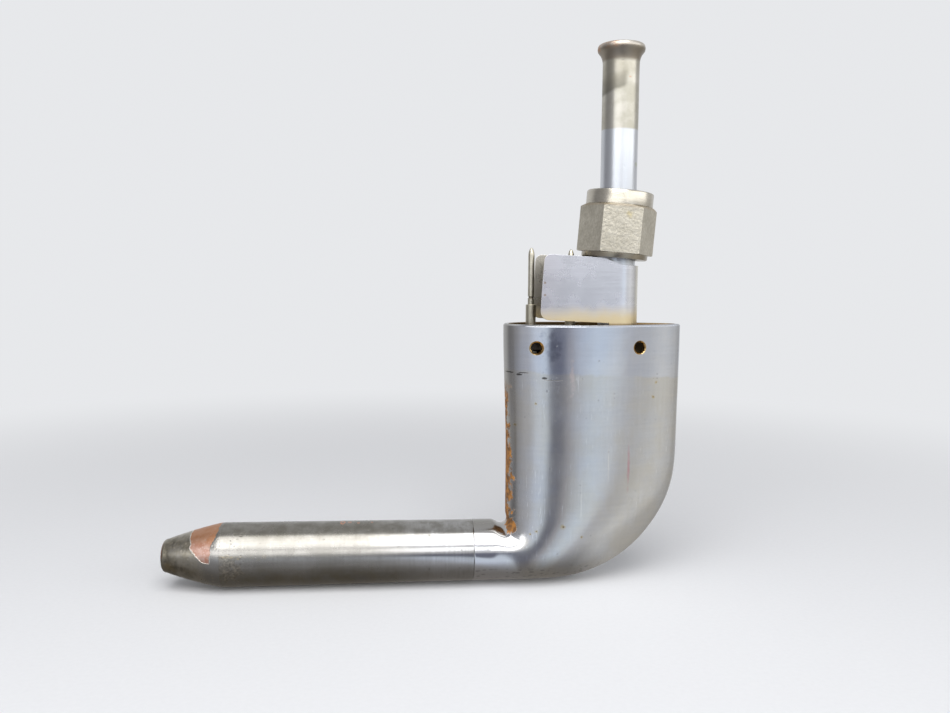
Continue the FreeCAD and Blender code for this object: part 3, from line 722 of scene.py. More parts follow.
thread_crest, thread_root, pitch, nut_bore = 7.0, 7.5, 1.27, 5.75
bore = [(0, -1), (nut_bore + 0.45, -1), (nut_bore + 0.45, 0), (nut_bore, 0.45), (nut_bore, 3.8)]
bore.append((thread_crest, 5.05))
thread_start, thread_stop = 5.3, nut_length - 0.8
turns = int((thread_stop - thread_start) / pitch)
for turn in range(turns):
    low = thread_start + turn * pitch
    bore += [(thread_crest, low), (thread_root, low + 0.42 * pitch), (thread_root, low + 0.58 * pitch)]
bore += [(thread_crest, thread_start + turns * pitch), (thread_crest + 0.1, nut_length - 0.5)]
bore += [(thread_crest + 0.6, nut_length), (thread_crest + 0.6, nut_length + 1), (0, nut_length + 1)]
carve(nut, nut_turning("bore_cutter", bore))
round_edges(nut, 0.09, 40)
nut.rotation_euler = (0, math.radians(nut_tilt), 0)
lift = Matrix.Rotation(math.radians(nut_tilt), 3, "Y") @ Vector((0, 0, nut_length / 2 * MM))
nut.location = nut_middle - lift
settle(nut)
smooth_by_angle(nut, 28)
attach(nut, "nut")
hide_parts("coupling_nut")
print(faces_of(nut))

# %% [markdown]
# The guard is one strip of sheet bent round the riser into a U, open towards the nose, so that
# the plug can slide in over the pins. It could be cut out of a solid block, but a grid bent
# along the U and then given its thickness is how sheet behaves, and the ends stay round.

# %% Bend the guard
guard_low, guard_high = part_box("connector_guard")
sheet = 0.7
guard_radius = (guard_high.y - guard_low.y) / 2 / MM - sheet / 2
lean, foot_lean = math.radians(3.2), math.radians(2.5)
near_reach, far_reach = 21.2, 21.9
foot, top, step_top, low_round, high_round = 0.3, 17.1, 15.6, 2.2, 1.8
plate_z = guard_low.z / MM
step_start, step_length, bend_steps, side_steps, round_steps = -4.55, 4.3, 24, 24, 8


def leaned(along, height):
    return (
        along * math.cos(lean) + height * math.sin(lean),
        height * math.cos(lean) - along * math.sin(lean),
    )


def foot_at(x):
    return foot - x * math.tan(foot_lean)


def top_at(x):
    share = min(max((x - step_start) / step_length, 0.0), 1.0)
    return (top + (step_top - top) * share) / math.cos(lean) - x * math.tan(lean)


def wall_columns(reach):
    """The lowest and highest point of each column, from the open end to the riser's axis."""
    columns = []
    for i in range(round_steps + 1):
        turn = math.radians(90 * i / round_steps)
        back_low, back_high = low_round * (1 - math.cos(turn)), high_round * (1 - math.cos(turn))
        low_x = leaned(-reach + back_low, foot)[0]
        low = (low_x, foot_at(low_x) + low_round * (1 - math.sin(turn)))
        high = leaned(-reach + back_high, top - high_round * (1 - math.sin(turn)))
        columns.append((low, high))
    first_low, first_high = columns[-1][0][0], columns[-1][1][0]
    for i in range(1, side_steps + 1):
        share = i / side_steps
        low_x, high_x = first_low * (1 - share), first_high * (1 - share)
        low_z = foot_at(low_x) if low_x < -3.0 else plate_z
        columns.append(((low_x, low_z), (high_x, top_at(high_x))))
    return columns


path = [(low, high, -guard_radius) for low, high in wall_columns(near_reach)]
for i in range(1, bend_steps):
    turn = math.pi * i / bend_steps
    x = guard_radius * math.sin(turn)
    path.append(((x, plate_z), (x, top_at(x)), -guard_radius * math.cos(turn)))
path += [(low, high, guard_radius) for low, high in reversed(wall_columns(far_reach))]
ROWS = 8
new_start()
bpy.ops.mesh.primitive_grid_add(x_subdivisions=len(path) - 1, y_subdivisions=ROWS, size=1.0)
guard = bpy.context.active_object
guard.name = guard.data.name = "guard_sheet"
for vertex in guard.data.vertices:
    low, high, across = path[round((vertex.co.x + 0.5) * (len(path) - 1))]
    share = vertex.co.y + 0.5
    x = low[0] + (high[0] - low[0]) * share
    z = low[1] + (high[1] - low[1]) * share
    vertex.co = Vector((riser_x + x, across, z)) * MM
apply_modifier(guard, "SOLIDIFY", thickness=sheet * MM, offset=0.0, use_even_offset=True)
round_edges(guard, 0.13, 50)
edit_all()
bpy.ops.mesh.normals_make_consistent(inside=False)
leave_edit()
smooth_by_angle(guard, 20)
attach(guard, "head")
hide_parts("connector_guard")
print(faces_of(guard))

# %% [markdown]
# The two heater pins are turned from silver-plated brass: a thick base, a snap groove for the
# plug's spring, and a rounded tip. One outline serves both, since they differ only in height.

# %% Turn the pins
def make_pin(name, node):
    low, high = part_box(node)
    x, bottom, peak = (low.x + high.x) / 2 / MM, low.z / MM, high.z / MM
    radius, base, stud, hollow, groove_radius = 0.825, 1.35, 1.25, 0.75, 0.625
    outline = [(0, peak), (0.16, peak - 0.03), (0.34, peak - 0.18), (0.52, peak - 0.5), (0.68, peak - 0.95)]
    outline += [(0.78, peak - 1.4), (radius, peak - 1.9)]
    outline += [(radius, 12.0), (radius, 7.2), (radius - 0.05, 7.15), (groove_radius, 7.1)]
    outline += [(groove_radius, 6.7), (radius - 0.05, 6.65)]
    outline += [(radius, 6.6), (radius, 5.08), (radius + 0.1, 5.0), (base - 0.1, 5.0), (base, 4.88)]
    outline += [(base, -0.4), (base, -0.5), (stud, -0.5), (stud, bottom), (hollow, bottom)]
    outline += [(hollow, bottom + 3.0), (0, bottom + 3.0)]
    pin = turn_on_lathe(
        name, [Vector((x + r, 0, z)) * MM for r, z in outline], AXIS_Z, (x * MM, 0, 0), 48
    )
    smooth_by_angle(pin, 35)
    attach(pin, "head")
    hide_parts(node)
    print(faces_of(pin))
    return pin


pins = [make_pin("pin_front", "contact_pin_front"), make_pin("pin_rear", "contact_pin_rear")]

# %% [markdown]
# The finishes share a few effects: streaks left by polishing and brushing, small pits, soft
# clouds of tarnish, and single marks with ragged edges. Each one is a shader node group, so it
# is made once and used at another scale in each finish. A group gives only a mask or a value,
# and the metal itself stays in the finish.

# %% Make the shared effects
def new_group(name, inputs, outputs):
    group = bpy.data.node_groups.new(name, "ShaderNodeTree")
    for label, kind, default in inputs:
        socket = group.interface.new_socket(name=label, in_out="INPUT", socket_type=kind)
        socket.default_value = default
    for label in outputs:
        group.interface.new_socket(name=label, in_out="OUTPUT", socket_type="NodeSocketFloat")
    start = add_node(group, "NodeGroupInput")
    end = add_node(group, "NodeGroupOutput")
    return group, start.outputs, end.inputs


FLOAT, VECTOR = "NodeSocketFloat", "NodeSocketVector"

streaks, given, result = new_group(
    "streaks", [("Place", VECTOR, (0, 0, 0)), ("Stretch", VECTOR, (100, 100, 100))], ["Streak"]
)
stretched = vector_step("MULTIPLY", given["Place"], given["Stretch"])
coarse = noise(stretched, 1.0, 3.0, 0.65)
fine = noise(stretched, 3.7, 2.0, 0.6)
blended = plus(times(coarse, 0.6), times(fine, 0.4))
join(ramp(blended, 0.34, 0.66), result["Streak"])

pits, given, result = new_group(
    "pits",
    [("Place", VECTOR, (0, 0, 0)), ("Scale", FLOAT, 500.0), ("Share", FLOAT, 0.3), ("Size", FLOAT, 0.2)],
    ["Pit"],
)
cells = add_node(pits, "ShaderNodeTexVoronoi")
wobble = add_node(pits, "ShaderNodeTexNoise")
join(given["Place"], wobble.inputs["Vector"])
wobble.inputs["Scale"].default_value = 2500.0
shaken = vector_step("MULTIPLY", wobble.outputs["Color"], (0.0004, 0.0004, 0.0004))
join(vector_step("ADD", given["Place"], shaken), cells.inputs["Vector"])
join(given["Scale"], cells.inputs["Scale"])
chosen = add_node(pits, "ShaderNodeSeparateColor")
join(cells.outputs["Color"], chosen.inputs["Color"])
width = times(given["Size"], plus(chosen.outputs["Green"], 0.4))
depth = minus(1.0, number("DIVIDE", cells.outputs["Distance"], width))
depth = times(ramp(depth, 0.0, 0.5), number("LESS_THAN", chosen.outputs["Red"], given["Share"]))
join(depth, result["Pit"])

clouds, given, result = new_group("clouds", [("Place", VECTOR, (0, 0, 0)), ("Scale", FLOAT, 60.0)], ["Cloud"])
join(ramp(noise(given["Place"], given["Scale"], 4.0, 0.6), 0.36, 0.64), result["Cloud"])

mark, given, result = new_group(
    "mark",
    [
        ("Place", VECTOR, (0, 0, 0)), ("Centre", VECTOR, (0, 0, 0)), ("Size", VECTOR, (0.001, 0.001, 0.001)),
        ("Ragged", FLOAT, 0.5), ("Grain", FLOAT, 900.0), ("Soft", FLOAT, 0.15),
    ],
    ["Mark"],
)
offset = vector_step("SUBTRACT", given["Place"], given["Centre"])
away = vector_step("LENGTH", vector_step("DIVIDE", offset, given["Size"]))
torn = minus(noise(given["Place"], given["Grain"], 3.0, 0.6), 0.5)
away = plus(away, times(torn, times(given["Ragged"], 3.0)))
inside_by = number("DIVIDE", minus(1.0, away), given["Soft"])
join(ramp(inside_by, 0.0, 1.0), result["Mark"])
print("effects:", [group.name for group in (streaks, pits, clouds, mark)])

# %% [markdown]
# A finish is a Principled shader whose colour, roughness and bump come from those effects. The
# next helpers keep the wiring readable: one starts a finish, one lays a tint over a colour, one
# places a single mark, and one adds the bump. Places are read from object coordinates, in
# metres, so that a streak has its true width on every piece.

# %% Helpers for the finishes
def new_finish(name, metallic, roughness, colour):
    material = bpy.data.materials.new(name)
    material.use_nodes = True
    material.diffuse_color = (*colour, 1.0)
    tree = material.node_tree
    shader = tree.nodes["Principled BSDF"]
    shader.inputs["Metallic"].default_value = metallic
    shader.inputs["Roughness"].default_value = roughness
    shader.inputs["Base Color"].default_value = (*colour, 1.0)
    place = add_node(tree, "ShaderNodeTexCoord").outputs["Object"]
    return material, tree, shader, place


def effect(group, place, **settings):
    node = add_node(place.id_data, "ShaderNodeGroup", node_tree=group)
    join(place, node.inputs["Place"])
    for label, value in settings.items():
        node.inputs[label].default_value = value
    return node.outputs[0]


def tint(colour, mask, share, paint):
    """Lay a share of another paint over a colour, where the mask is."""
    return mix_colour(times(mask, share), colour, paint)


def mix_value(mask, first, second):
    node = add_node(mask.id_data, "ShaderNodeMix", data_type="FLOAT")
    feed(node.inputs["A"], first)
    feed(node.inputs["B"], second)
    join(mask, node.inputs["Factor"])
    return node.outputs["Result"]


def blot(place, centre, size, ragged, grain, soft):
    """One mark, with its centre and half its size in mm."""
    spot, half_size = Vector(centre) * MM, Vector(size) * MM
    return effect(mark, place, Centre=spot, Size=half_size, Ragged=ragged, Grain=grain, Soft=soft)


def any_of(masks):
    total = masks[0]
    for extra in masks[1:]:
        total = number("MAXIMUM", total, extra)
    return total


def add_bump(shader, height, depth_mm):
    bump = add_node(height.id_data, "ShaderNodeBump")
    bump.inputs["Distance"].default_value = depth_mm * MM
    join(height, bump.inputs["Height"])
    join(bump.outputs["Normal"], shader.inputs["Normal"])


def wear(piece, material):
    piece.data.materials.clear()
    piece.data.materials.append(material)


# %% [markdown]
# The mast is chrome on brass. Its top band, where the socket used to hold it, kept a brighter
# polish, and a ragged scribed edge ends that band. Below it the chrome is hazy from sand and
# rain, and carries smears and rubs from handling, while the stub at the bottom stayed smoother.
# Water sat along the leading edge, so rust-brown dirt has eaten in there, widest near the inner
# corner, and a few single pits have bled a yellow halo.

# %% Finish the mast
chrome, tree, shader, place = new_finish("polished_chrome", 1.0, 0.16, (0.60, 0.61, 0.63))
x, y, z = split(place)
haze = effect(clouds, place, Scale=70.0)
upright = effect(streaks, place, Stretch=(900.0, 900.0, 60.0))
level = effect(streaks, place, Stretch=(60.0, 60.0, 1100.0))
edge_noise = times(noise(place, 350.0, 3.0), 0.0016)
band_height = plus(plus(z, times(x, 0.055)), edge_noise)
worn = ramp(band_height, -0.0117, -0.0127)
blue_cloud = effect(clouds, place, Scale=48.0)
warm_cloud = effect(clouds, vector_step("ADD", place, (0.31, 0.17, 0.05)), Scale=62.0)
colour = mix_colour(times(haze, 0.5), (0.63, 0.635, 0.65), (0.56, 0.57, 0.60))
colour = tint(colour, blue_cloud, 0.45, (0.52, 0.58, 0.70))
colour = tint(colour, worn, 0.35, (0.57, 0.57, 0.55))
colour = mix_colour(times(worn, times(warm_cloud, 0.55)), colour, (0.60, 0.56, 0.47))
colour = tint(colour, level, 0.16, (0.42, 0.43, 0.46))
colour = tint(colour, upright, 0.12, (0.75, 0.75, 0.76))
scuffs = ramp(effect(streaks, place, Stretch=(1300.0, 1300.0, 130.0)), 0.86, 1.0)
scuffs = times(scuffs, times(worn, haze))
colour = tint(colour, scuffs, 0.5, (0.84, 0.84, 0.84))
rubs = [
    ((8.7, -9.0, -37.5), (0.6, 5.0, 8.0)), ((-4.2, -9.7, -47.0), (0.35, 5.0, 7.0)),
    ((3.0, -9.6, -36.0), (0.3, 5.0, 6.5)),
]
rub_marks = [blot(place, spot, size, 0.35, 500.0, 0.9) for spot, size in rubs]
colour = tint(colour, rub_marks[0], 0.8, (0.60, 0.34, 0.36))
colour = tint(colour, any_of(rub_marks[1:]), 0.4, (0.82, 0.78, 0.72))
dark_smear = blot(place, (-12.5, -9.2, -5.5), (3.2, 4.0, 5.2), 0.8, 420.0, 0.95)
pink_smear = blot(place, (-7.2, -9.5, -13.5), (1.0, 4.0, 6.2), 0.7, 700.0, 0.95)
colour = tint(colour, dark_smear, 0.5, (0.17, 0.18, 0.24))
colour = tint(colour, pink_smear, 0.6, (0.80, 0.70, 0.66))
front_edge = times(ramp(x, -0.0198, -0.0232), ramp(z, -0.0560, -0.0530))
edge_haze = times(front_edge, 0.6)
colour = mix_colour(edge_haze, colour, (0.27, 0.25, 0.21))
on_stub = times(ramp(z, -0.0525, -0.0555), ramp(x, -0.0170, -0.0240))
colour = tint(colour, on_stub, 0.75, (0.62, 0.62, 0.645))
# Painted shade: the top of the stub is darkened in the inner corner under the leading edge.
stub_top_corner_shade = times(ramp(z, -0.0585, -0.0552), ramp(x, -0.0215, -0.0250))
colour = tint(colour, stub_top_corner_shade, 0.65, (0.22, 0.21, 0.19))
# Specks low on the stub are scuffs in the bump and, in the colour, a painted reflection of a dark floor
# below.
low_scuff_and_floor_reflection = effect(pits, vector_step("MULTIPLY", place, (0.5, 1.0, 1.0)), Scale=1300.0, Share=0.55, Size=0.5)
low_scuff_and_floor_reflection = times(low_scuff_and_floor_reflection, ramp(z, -0.0630, -0.0655))
low_scuff_and_floor_reflection = times(low_scuff_and_floor_reflection, ramp(x, 0.008, -0.004))
colour = tint(colour, low_scuff_and_floor_reflection, 0.45, (0.22, 0.22, 0.23))
rust_noise = times(minus(noise(place, 380.0, 6.0, 0.66), 0.5), 0.0062)
rust_reach = plus(plus(x, rust_noise), times(ramp(z, -0.012, -0.046), -0.0011))
rust_edge = ramp(rust_reach, -0.02285, -0.02315)
rust_height = times(ramp(z, -0.0135, -0.021), ramp(z, -0.0540, -0.0520))
foot_rust = blot(place, (-22.2, -4.5, -53.5), (1.6, 5.0, 2.2), 0.42, 800.0, 0.2)
middle_rust = blot(place, (-23.6, 0.0, -42.5), (1.9, 5.2, 4.5), 0.5, 900.0, 0.2)
rust_edge = times(rust_edge, ramp(x, -0.0262, -0.0250))
rust = any_of([times(rust_edge, rust_height), foot_rust, middle_rust])
rust_tone = mix_colour(effect(clouds, place, Scale=700.0), (0.50, 0.22, 0.05), (0.17, 0.085, 0.035))
halo_spots = [
    ((-16.3, -8.3, -20.3), 0.42), ((-21.2, -5.1, -26.3), 0.45), ((15.5, -5.3, -19.1), 0.5),
    ((16.3, -5.0, -15.2), 0.4), ((-15.8, -8.5, -53.9), 0.45), ((-17.3, -7.9, -54.8), 0.35),
    ((-8.9, -9.7, -52.6), 0.7), ((-3.8, -9.6, -55.6), 0.45), ((12.0, 6.9, -24.0), 0.5),
    ((-19.0, 6.6, -33.0), 0.6), ((3.0, 9.0, -47.0), 0.45),
]
halos = any_of([
    blot(place, spot, (1.4 * size, 2, 1.4 * size), 0.5, 1500.0, 0.9) for spot, size in halo_spots
])
cores = any_of([
    blot(place, spot, (0.45 * size, 2, 0.45 * size), 0.5, 2500.0, 0.5) for spot, size in halo_spots[:9]
])
scratch_shapes = [
    ((-22.6, -4.0, -12.5), (1.2, 5.0, 0.22)), ((-20.5, -6.2, -12.9), (0.9, 5.0, 0.32)),
    ((-19.3, -7.0, -12.4), (1.6, 5.0, 0.17)), ((-14.2, -9.0, -13.6), (1.0, 5.0, 0.34)),
    ((-11.9, -9.5, -14.1), (2.6, 5.0, 0.10)), ((-9.0, 9.5, -13.9), (1.6, 5.0, 0.08)),
]
scratches = any_of([blot(place, spot, size, 0.35, 1300.0, 0.4) for spot, size in scratch_shapes])
dust = effect(pits, place, Scale=900.0, Share=0.09, Size=0.24)
colour = tint(colour, halos, 0.6, (0.56, 0.45, 0.20))
colour = tint(colour, cores, 0.8, (0.22, 0.13, 0.05))
colour = tint(colour, scratches, 0.85, (0.05, 0.045, 0.04))
colour = tint(colour, dust, 0.35, (0.30, 0.30, 0.30))
colour = mix_colour(rust, colour, rust_tone)
hole_walls, hole_rims = [], []
for hole_x, hole_z in screw_places:
    across = vector_step("SUBTRACT", place, (hole_x * MM, 0.0, hole_z * MM))
    across = vector_step("LENGTH", vector_step("MULTIPLY", across, (1.0, 0.0, 1.0)))
    hole_walls.append(ramp(across, (screw_radius + 0.22) * MM, (screw_radius + 0.08) * MM))
    hole_rims.append(ramp(across, (screw_radius + 0.55) * MM, (screw_radius + 0.15) * MM))
colour = tint(colour, any_of(hole_rims), 0.35, (0.72, 0.70, 0.64))
colour = mix_colour(any_of(hole_walls), colour, (0.42, 0.29, 0.13))
roughness = mix_value(worn, 0.13, 0.18)
roughness = plus(roughness, times(haze, 0.06))
roughness = plus(roughness, times(front_edge, 0.10))
roughness = mix_value(on_stub, roughness, 0.115)
bore_normal = split(add_node(tree, "ShaderNodeTexCoord").outputs["Normal"])[1]
inward = ramp(times(bore_normal, number("SIGN", y)), -0.05, -0.25)
roughness = mix_value(inward, roughness, 0.5)
roughness = mix_value(rust, roughness, 0.75)
colour = mix_colour(inward, colour, (0.22, 0.155, 0.08))
join(colour, shader.inputs["Base Color"])
join(roughness, shader.inputs["Roughness"])
join(mix_value(rust, 1.0, 0.15), shader.inputs["Metallic"])
height = plus(times(upright, 0.35), times(level, 0.25))
height = minus(height, times(any_of([dust, scratches, cores, times(low_scuff_and_floor_reflection, 0.4)]), 6.0))
height = plus(height, times(rust, times(noise(place, 1800.0, 3.0), 30.0)))
height = plus(height, times(noise(place, 85.0, 3.0), 42.0))
height = minus(height, times(scuffs, 0.8))
add_bump(shader, height, 0.0022)
wear(mast, chrome)
print("mast nodes:", len(tree.nodes))

# %% [markdown]
# The barrel's plating is nickel that has dulled to a warm grey. Turning has left fine rings
# round it, handling has left long scratches along it, and a thin yellow line of dried water
# runs back from the nose. Small crumbs of copper show where the plating was chipped on top, and
# a rough crust has grown beside the nose.

# %% Finish the barrel
satin, tree, shader, place = new_finish("satin_nickel", 1.0, 0.26, (0.40, 0.385, 0.36))
x, _, z = split(place)
rings = effect(streaks, place, Stretch=(1500.0, 70.0, 70.0))
lengthwise = effect(streaks, place, Stretch=(45.0, 800.0, 800.0))
tarnish = effect(clouds, place, Scale=90.0)
fresh = ramp(x, -0.060, -0.038)
colour = mix_colour(tarnish, (0.365, 0.355, 0.335), (0.275, 0.265, 0.245))
colour = tint(colour, fresh, 0.8, (0.58, 0.585, 0.605))
colour = tint(colour, rings, 0.22, (0.20, 0.19, 0.17))
colour = tint(colour, lengthwise, 0.2, (0.46, 0.44, 0.40))
axis_height = plus(z, -axis_z * MM)
# Painted shade: the lower half is darkened as if by a dark floor under it, with brown tarnish clouds in that
# shade, and the top is darkened too, which softens the highlight's upper edge.
shaded_underside = ramp(axis_height, 0.0012, -0.0052)
shaded_top = ramp(axis_height, 0.0030, 0.0074)
brown = effect(clouds, place, Scale=260.0)
shaded_underside = times(shaded_underside, minus(1.0, times(fresh, 0.6)))
colour = tint(colour, shaded_underside, 0.5, (0.19, 0.18, 0.155))
colour = mix_colour(times(shaded_underside, times(brown, 0.4)), colour, (0.22, 0.19, 0.12))
colour = mix_colour(times(shaded_top, plus(times(brown, 0.35), 0.4)), colour, (0.14, 0.13, 0.105))
dry_line = plus(axis_height, times(noise(place, 260.0, 3.0), 0.0012))
dry_mask = times(ramp(dry_line, 0.0015, 0.0023), ramp(dry_line, 0.0030, 0.0024))
dry_mask = times(dry_mask, ramp(x, -0.081, -0.090))
dry_mask = times(dry_mask, ramp(noise(place, 700.0, 3.0), 0.42, 0.60))
colour = tint(colour, dry_mask, 0.5, (0.56, 0.42, 0.20))
small_pits = effect(pits, place, Scale=620.0, Share=0.24, Size=0.26)
nose_wear = ramp(x, -0.080, -0.095)
nose_pits = times(effect(pits, place, Scale=1100.0, Share=0.35, Size=0.35), nose_wear)
chips = [
    ((-66.4, -0.6, -53.2), 0.75), ((-64.6, -0.4, -53.2), 0.5), ((-62.3, -0.8, -53.2), 0.35),
    ((-58.7, -0.7, -53.3), 0.3),
]
chip_outer = any_of([blot(place, spot, (size, 1.5 * size, 2), 0.35, 1200.0, 0.25) for spot, size in chips])
chip_inner = any_of([blot(place, spot, (0.62 * size, size, 2), 0.35, 1200.0, 0.3) for spot, size in chips])
chip_rim = minus(chip_outer, times(chip_inner, 0.8))
colour = mix_colour(chip_rim, colour, (0.55, 0.27, 0.17))
crust = blot(place, (-95.2, -7.2, axis_z - 1.4), (4.2, 5.0, 4.6), 1.0, 700.0, 0.6)
crumbs = times(crust, ramp(noise(place, 1900.0, 3.0), 0.50, 0.62))
holes = times(crust, ramp(noise(place, 1900.0, 3.0), 0.46, 0.36))
colour = tint(colour, crust, 0.35, (0.25, 0.21, 0.14))
colour = tint(colour, crumbs, 0.45, (0.54, 0.49, 0.40))
all_pits = any_of([small_pits, nose_pits, holes])
colour = tint(colour, all_pits, 0.5, (0.16, 0.15, 0.13))
join(colour, shader.inputs["Base Color"])
roughness = plus(mix_value(fresh, 0.235, 0.125), times(tarnish, 0.05))
join(plus(roughness, times(shaded_underside, 0.06)), shader.inputs["Roughness"])
height = plus(times(rings, 0.8), times(lengthwise, 0.7))
height = minus(height, times(all_pits, 7.0))
height = minus(height, times(chip_outer, 3.0))
add_bump(shader, height, 0.003)
wear(barrel, satin)
print("barrel nodes:", len(tree.nodes))

# %% [markdown]
# The nose is the hottest and most battered part. The tip has gone nearly black and green-brown,
# and one flake of nickel has come off the shoulder, so the copper below shows as a pink-brown
# patch with a pale chipped border. A little copper also shines round the rim of the intake.

# %% Finish the nose
nose_finish, tree, shader, place = new_finish("nose_copper", 1.0, 0.34, (0.26, 0.24, 0.20))
x, y, z = split(place)
axis_height = plus(z, -axis_z * MM)
scorch = effect(clouds, place, Scale=230.0)
mottle = effect(clouds, place, Scale=800.0)
rings = effect(streaks, place, Stretch=(1600.0, 90.0, 90.0))
colour = mix_colour(scorch, (0.39, 0.365, 0.315), (0.175, 0.16, 0.125))
colour = tint(colour, mottle, 0.45, (0.37, 0.33, 0.25))
colour = tint(colour, rings, 0.18, (0.10, 0.095, 0.08))
near_shoulder = ramp(plus(x, times(noise(place, 300.0, 3.0), 0.002)), -0.1028, -0.0990)
tarnish = effect(clouds, place, Scale=90.0)
plated = mix_colour(tarnish, (0.35, 0.34, 0.32), (0.265, 0.255, 0.235))
# The plated shoulder carries the barrel's painted shade, darker underneath and on top.
shaded_underside = ramp(axis_height, 0.0012, -0.0052)
plated = tint(plated, shaded_underside, 0.5, (0.19, 0.18, 0.155))
plated = tint(plated, ramp(axis_height, 0.0030, 0.0074), 0.5, (0.14, 0.13, 0.105))
colour = mix_colour(near_shoulder, colour, plated)
ochre = blot(place, (-110.5, -3.5, -62.8), (2.2, 4.0, 2.4), 0.5, 700.0, 0.9)
colour = tint(colour, ochre, 0.45, (0.33, 0.25, 0.12))
torn = times(minus(noise(place, 480.0, 4.0, 0.6), 0.5), 0.0016)
front_side = plus(plus(x, 0.10375), times(axis_height, 0.25))
slant = plus(times(axis_height, 0.14), -0.09995)
upper_slant = plus(times(axis_height, 0.38), -0.10105)
rear_side = minus(number("MAXIMUM", slant, upper_slant), x)
far_rise = times(plus(y, 0.008), 0.5)
low_side = minus(plus(axis_height, -0.0003), far_rise)
low_corner = plus(plus(x, axis_height), 0.1013)
low_side = number("MINIMUM", low_side, times(low_corner, 0.7))
deep = number("MINIMUM", number("MINIMUM", front_side, rear_side), low_side)
deep = plus(deep, torn)
bare = ramp(deep, -0.00004, 0.00006)
border = times(ramp(deep, -0.00044, -0.00016), minus(1.0, bare))
border_reach = plus(axis_height, plus(x, 0.1025))
border = times(border, ramp(border_reach, 0.0052, 0.0034))
copper_tone = mix_colour(effect(clouds, place, Scale=620.0), (0.47, 0.25, 0.185), (0.58, 0.40, 0.34))
copper_tone = tint(copper_tone, ramp(axis_height, 0.0034, 0.0062), 0.7, (0.42, 0.20, 0.085))
copper_specks = effect(pits, place, Scale=2000.0, Share=0.55, Size=0.42)
copper_specks = times(copper_specks, ramp(axis_height, 0.0064, 0.0030))
copper_tone = tint(copper_tone, copper_specks, 0.7, (0.68, 0.54, 0.48))
colour = tint(colour, border, 0.8, (0.72, 0.69, 0.62))
colour = mix_colour(bare, colour, copper_tone)
rim_noise = plus(x, times(noise(place, 500.0, 3.0), 0.0010))
rim_copper = times(ramp(rim_noise, -0.11195, -0.11225), ramp(axis_height, -0.0005, 0.0015))
colour = tint(colour, rim_copper, 0.75, (0.55, 0.25, 0.15))
scars = effect(pits, place, Scale=1000.0, Share=0.3, Size=0.32)
colour = tint(colour, scars, 0.4, (0.42, 0.38, 0.31))
join(colour, shader.inputs["Base Color"])
roughness = mix_value(near_shoulder, plus(times(scorch, 0.08), 0.28), plus(times(tarnish, 0.05), 0.25))
join(mix_value(bare, roughness, 0.42), shader.inputs["Roughness"])
height = plus(times(rings, 1.0), times(mottle, 1.5))
height = plus(height, times(border, 8.0))
height = minus(height, times(bare, 6.0))
height = minus(height, times(scars, 5.0))
add_bump(shader, height, 0.004)
wear(nose, nose_finish)
print("nose nodes:", len(tree.nodes))

# %% [markdown]
# The riser shows how far its hose nut once reached. The lower part is clean blue-white nickel,
# above a level line it is warm and yellowed, and under the flare lies a grey-brown stain whose
# lower edge runs aslant. The lip itself has rubbed through to brown on one side.

# %% Finish the riser
riser_finish, tree, shader, place = new_finish("riser_nickel", 1.0, 0.27, (0.60, 0.61, 0.64))
x, _, z = split(place)
rings = effect(streaks, place, Stretch=(60.0, 60.0, 1600.0))
upright = effect(streaks, place, Stretch=(900.0, 900.0, 45.0))
blotch = effect(clouds, place, Scale=190.0)
colour = mix_colour(times(upright, 0.3), (0.58, 0.60, 0.63), (0.50, 0.515, 0.54))
warm = ramp(plus(z, times(rings, 0.0002)), 0.0503, 0.0509)
yellowed = mix_colour(blotch, (0.50, 0.475, 0.41), (0.40, 0.375, 0.30))
colour = tint(colour, warm, 0.9, yellowed)
slanted = plus(z, times(plus(x, -riser_x * MM), -0.42))
slanted = plus(slanted, times(noise(place, 330.0, 3.0), 0.0012))
left_side = ramp(plus(x, -riser_x * MM), 0.0012, -0.0006)
stain = times(ramp(slanted, 0.0612, 0.0624), ramp(slanted, 0.0675, 0.0640))
stain = times(stain, left_side)
colour = tint(colour, stain, 0.75, (0.17, 0.16, 0.13))
upper_tint = ramp(slanted, 0.0610, 0.0660)
colour = tint(colour, upper_tint, 0.45, (0.36, 0.33, 0.26))
flare_mask = ramp(z, 0.0674, 0.0684)
colour = tint(colour, flare_mask, 0.8, (0.24, 0.20, 0.155))
lip_mask = ramp(z, 0.0708, 0.0716)
colour = tint(colour, lip_mask, 0.8, (0.60, 0.56, 0.50))
rubbed = times(ramp(z, 0.0700, 0.0708), ramp(plus(x, -riser_x * MM), 0.001, -0.003))
colour = tint(colour, times(rubbed, blotch), 0.7, (0.42, 0.22, 0.12))
green_fleck = blot(place, (10.0, -2.9, 41.5), (0.6, 2.0, 1.1), 0.5, 1500.0, 0.8)
red_fleck = blot(place, (7.5, -4.6, 63.4), (0.5, 2.0, 0.3), 0.5, 1500.0, 0.8)
colour = tint(colour, green_fleck, 0.4, (0.38, 0.42, 0.16))
colour = tint(colour, red_fleck, 0.5, (0.45, 0.18, 0.10))
join(colour, shader.inputs["Base Color"])
roughness = plus(mix_value(warm, 0.30, 0.32), times(any_of([stain, flare_mask]), 0.08))
roughness = plus(roughness, times(blotch, 0.05))
join(roughness, shader.inputs["Roughness"])
height = plus(times(rings, 1.0), times(upright, 0.5))
height = minus(height, times(effect(pits, place, Scale=900.0, Share=0.08, Size=0.25), 6.0))
add_bump(shader, height, 0.0025)
wear(riser, riser_finish)
print("riser nodes:", len(tree.nodes))

# %% [markdown]
# The nut was blasted and plated, so its flats are matt beige-grey with a pebbled skin, while
# the collar was turned afterwards and shines more. The coordinates are turned back by the nut's
# tilt first, because its tool marks run round its own leaning axis.

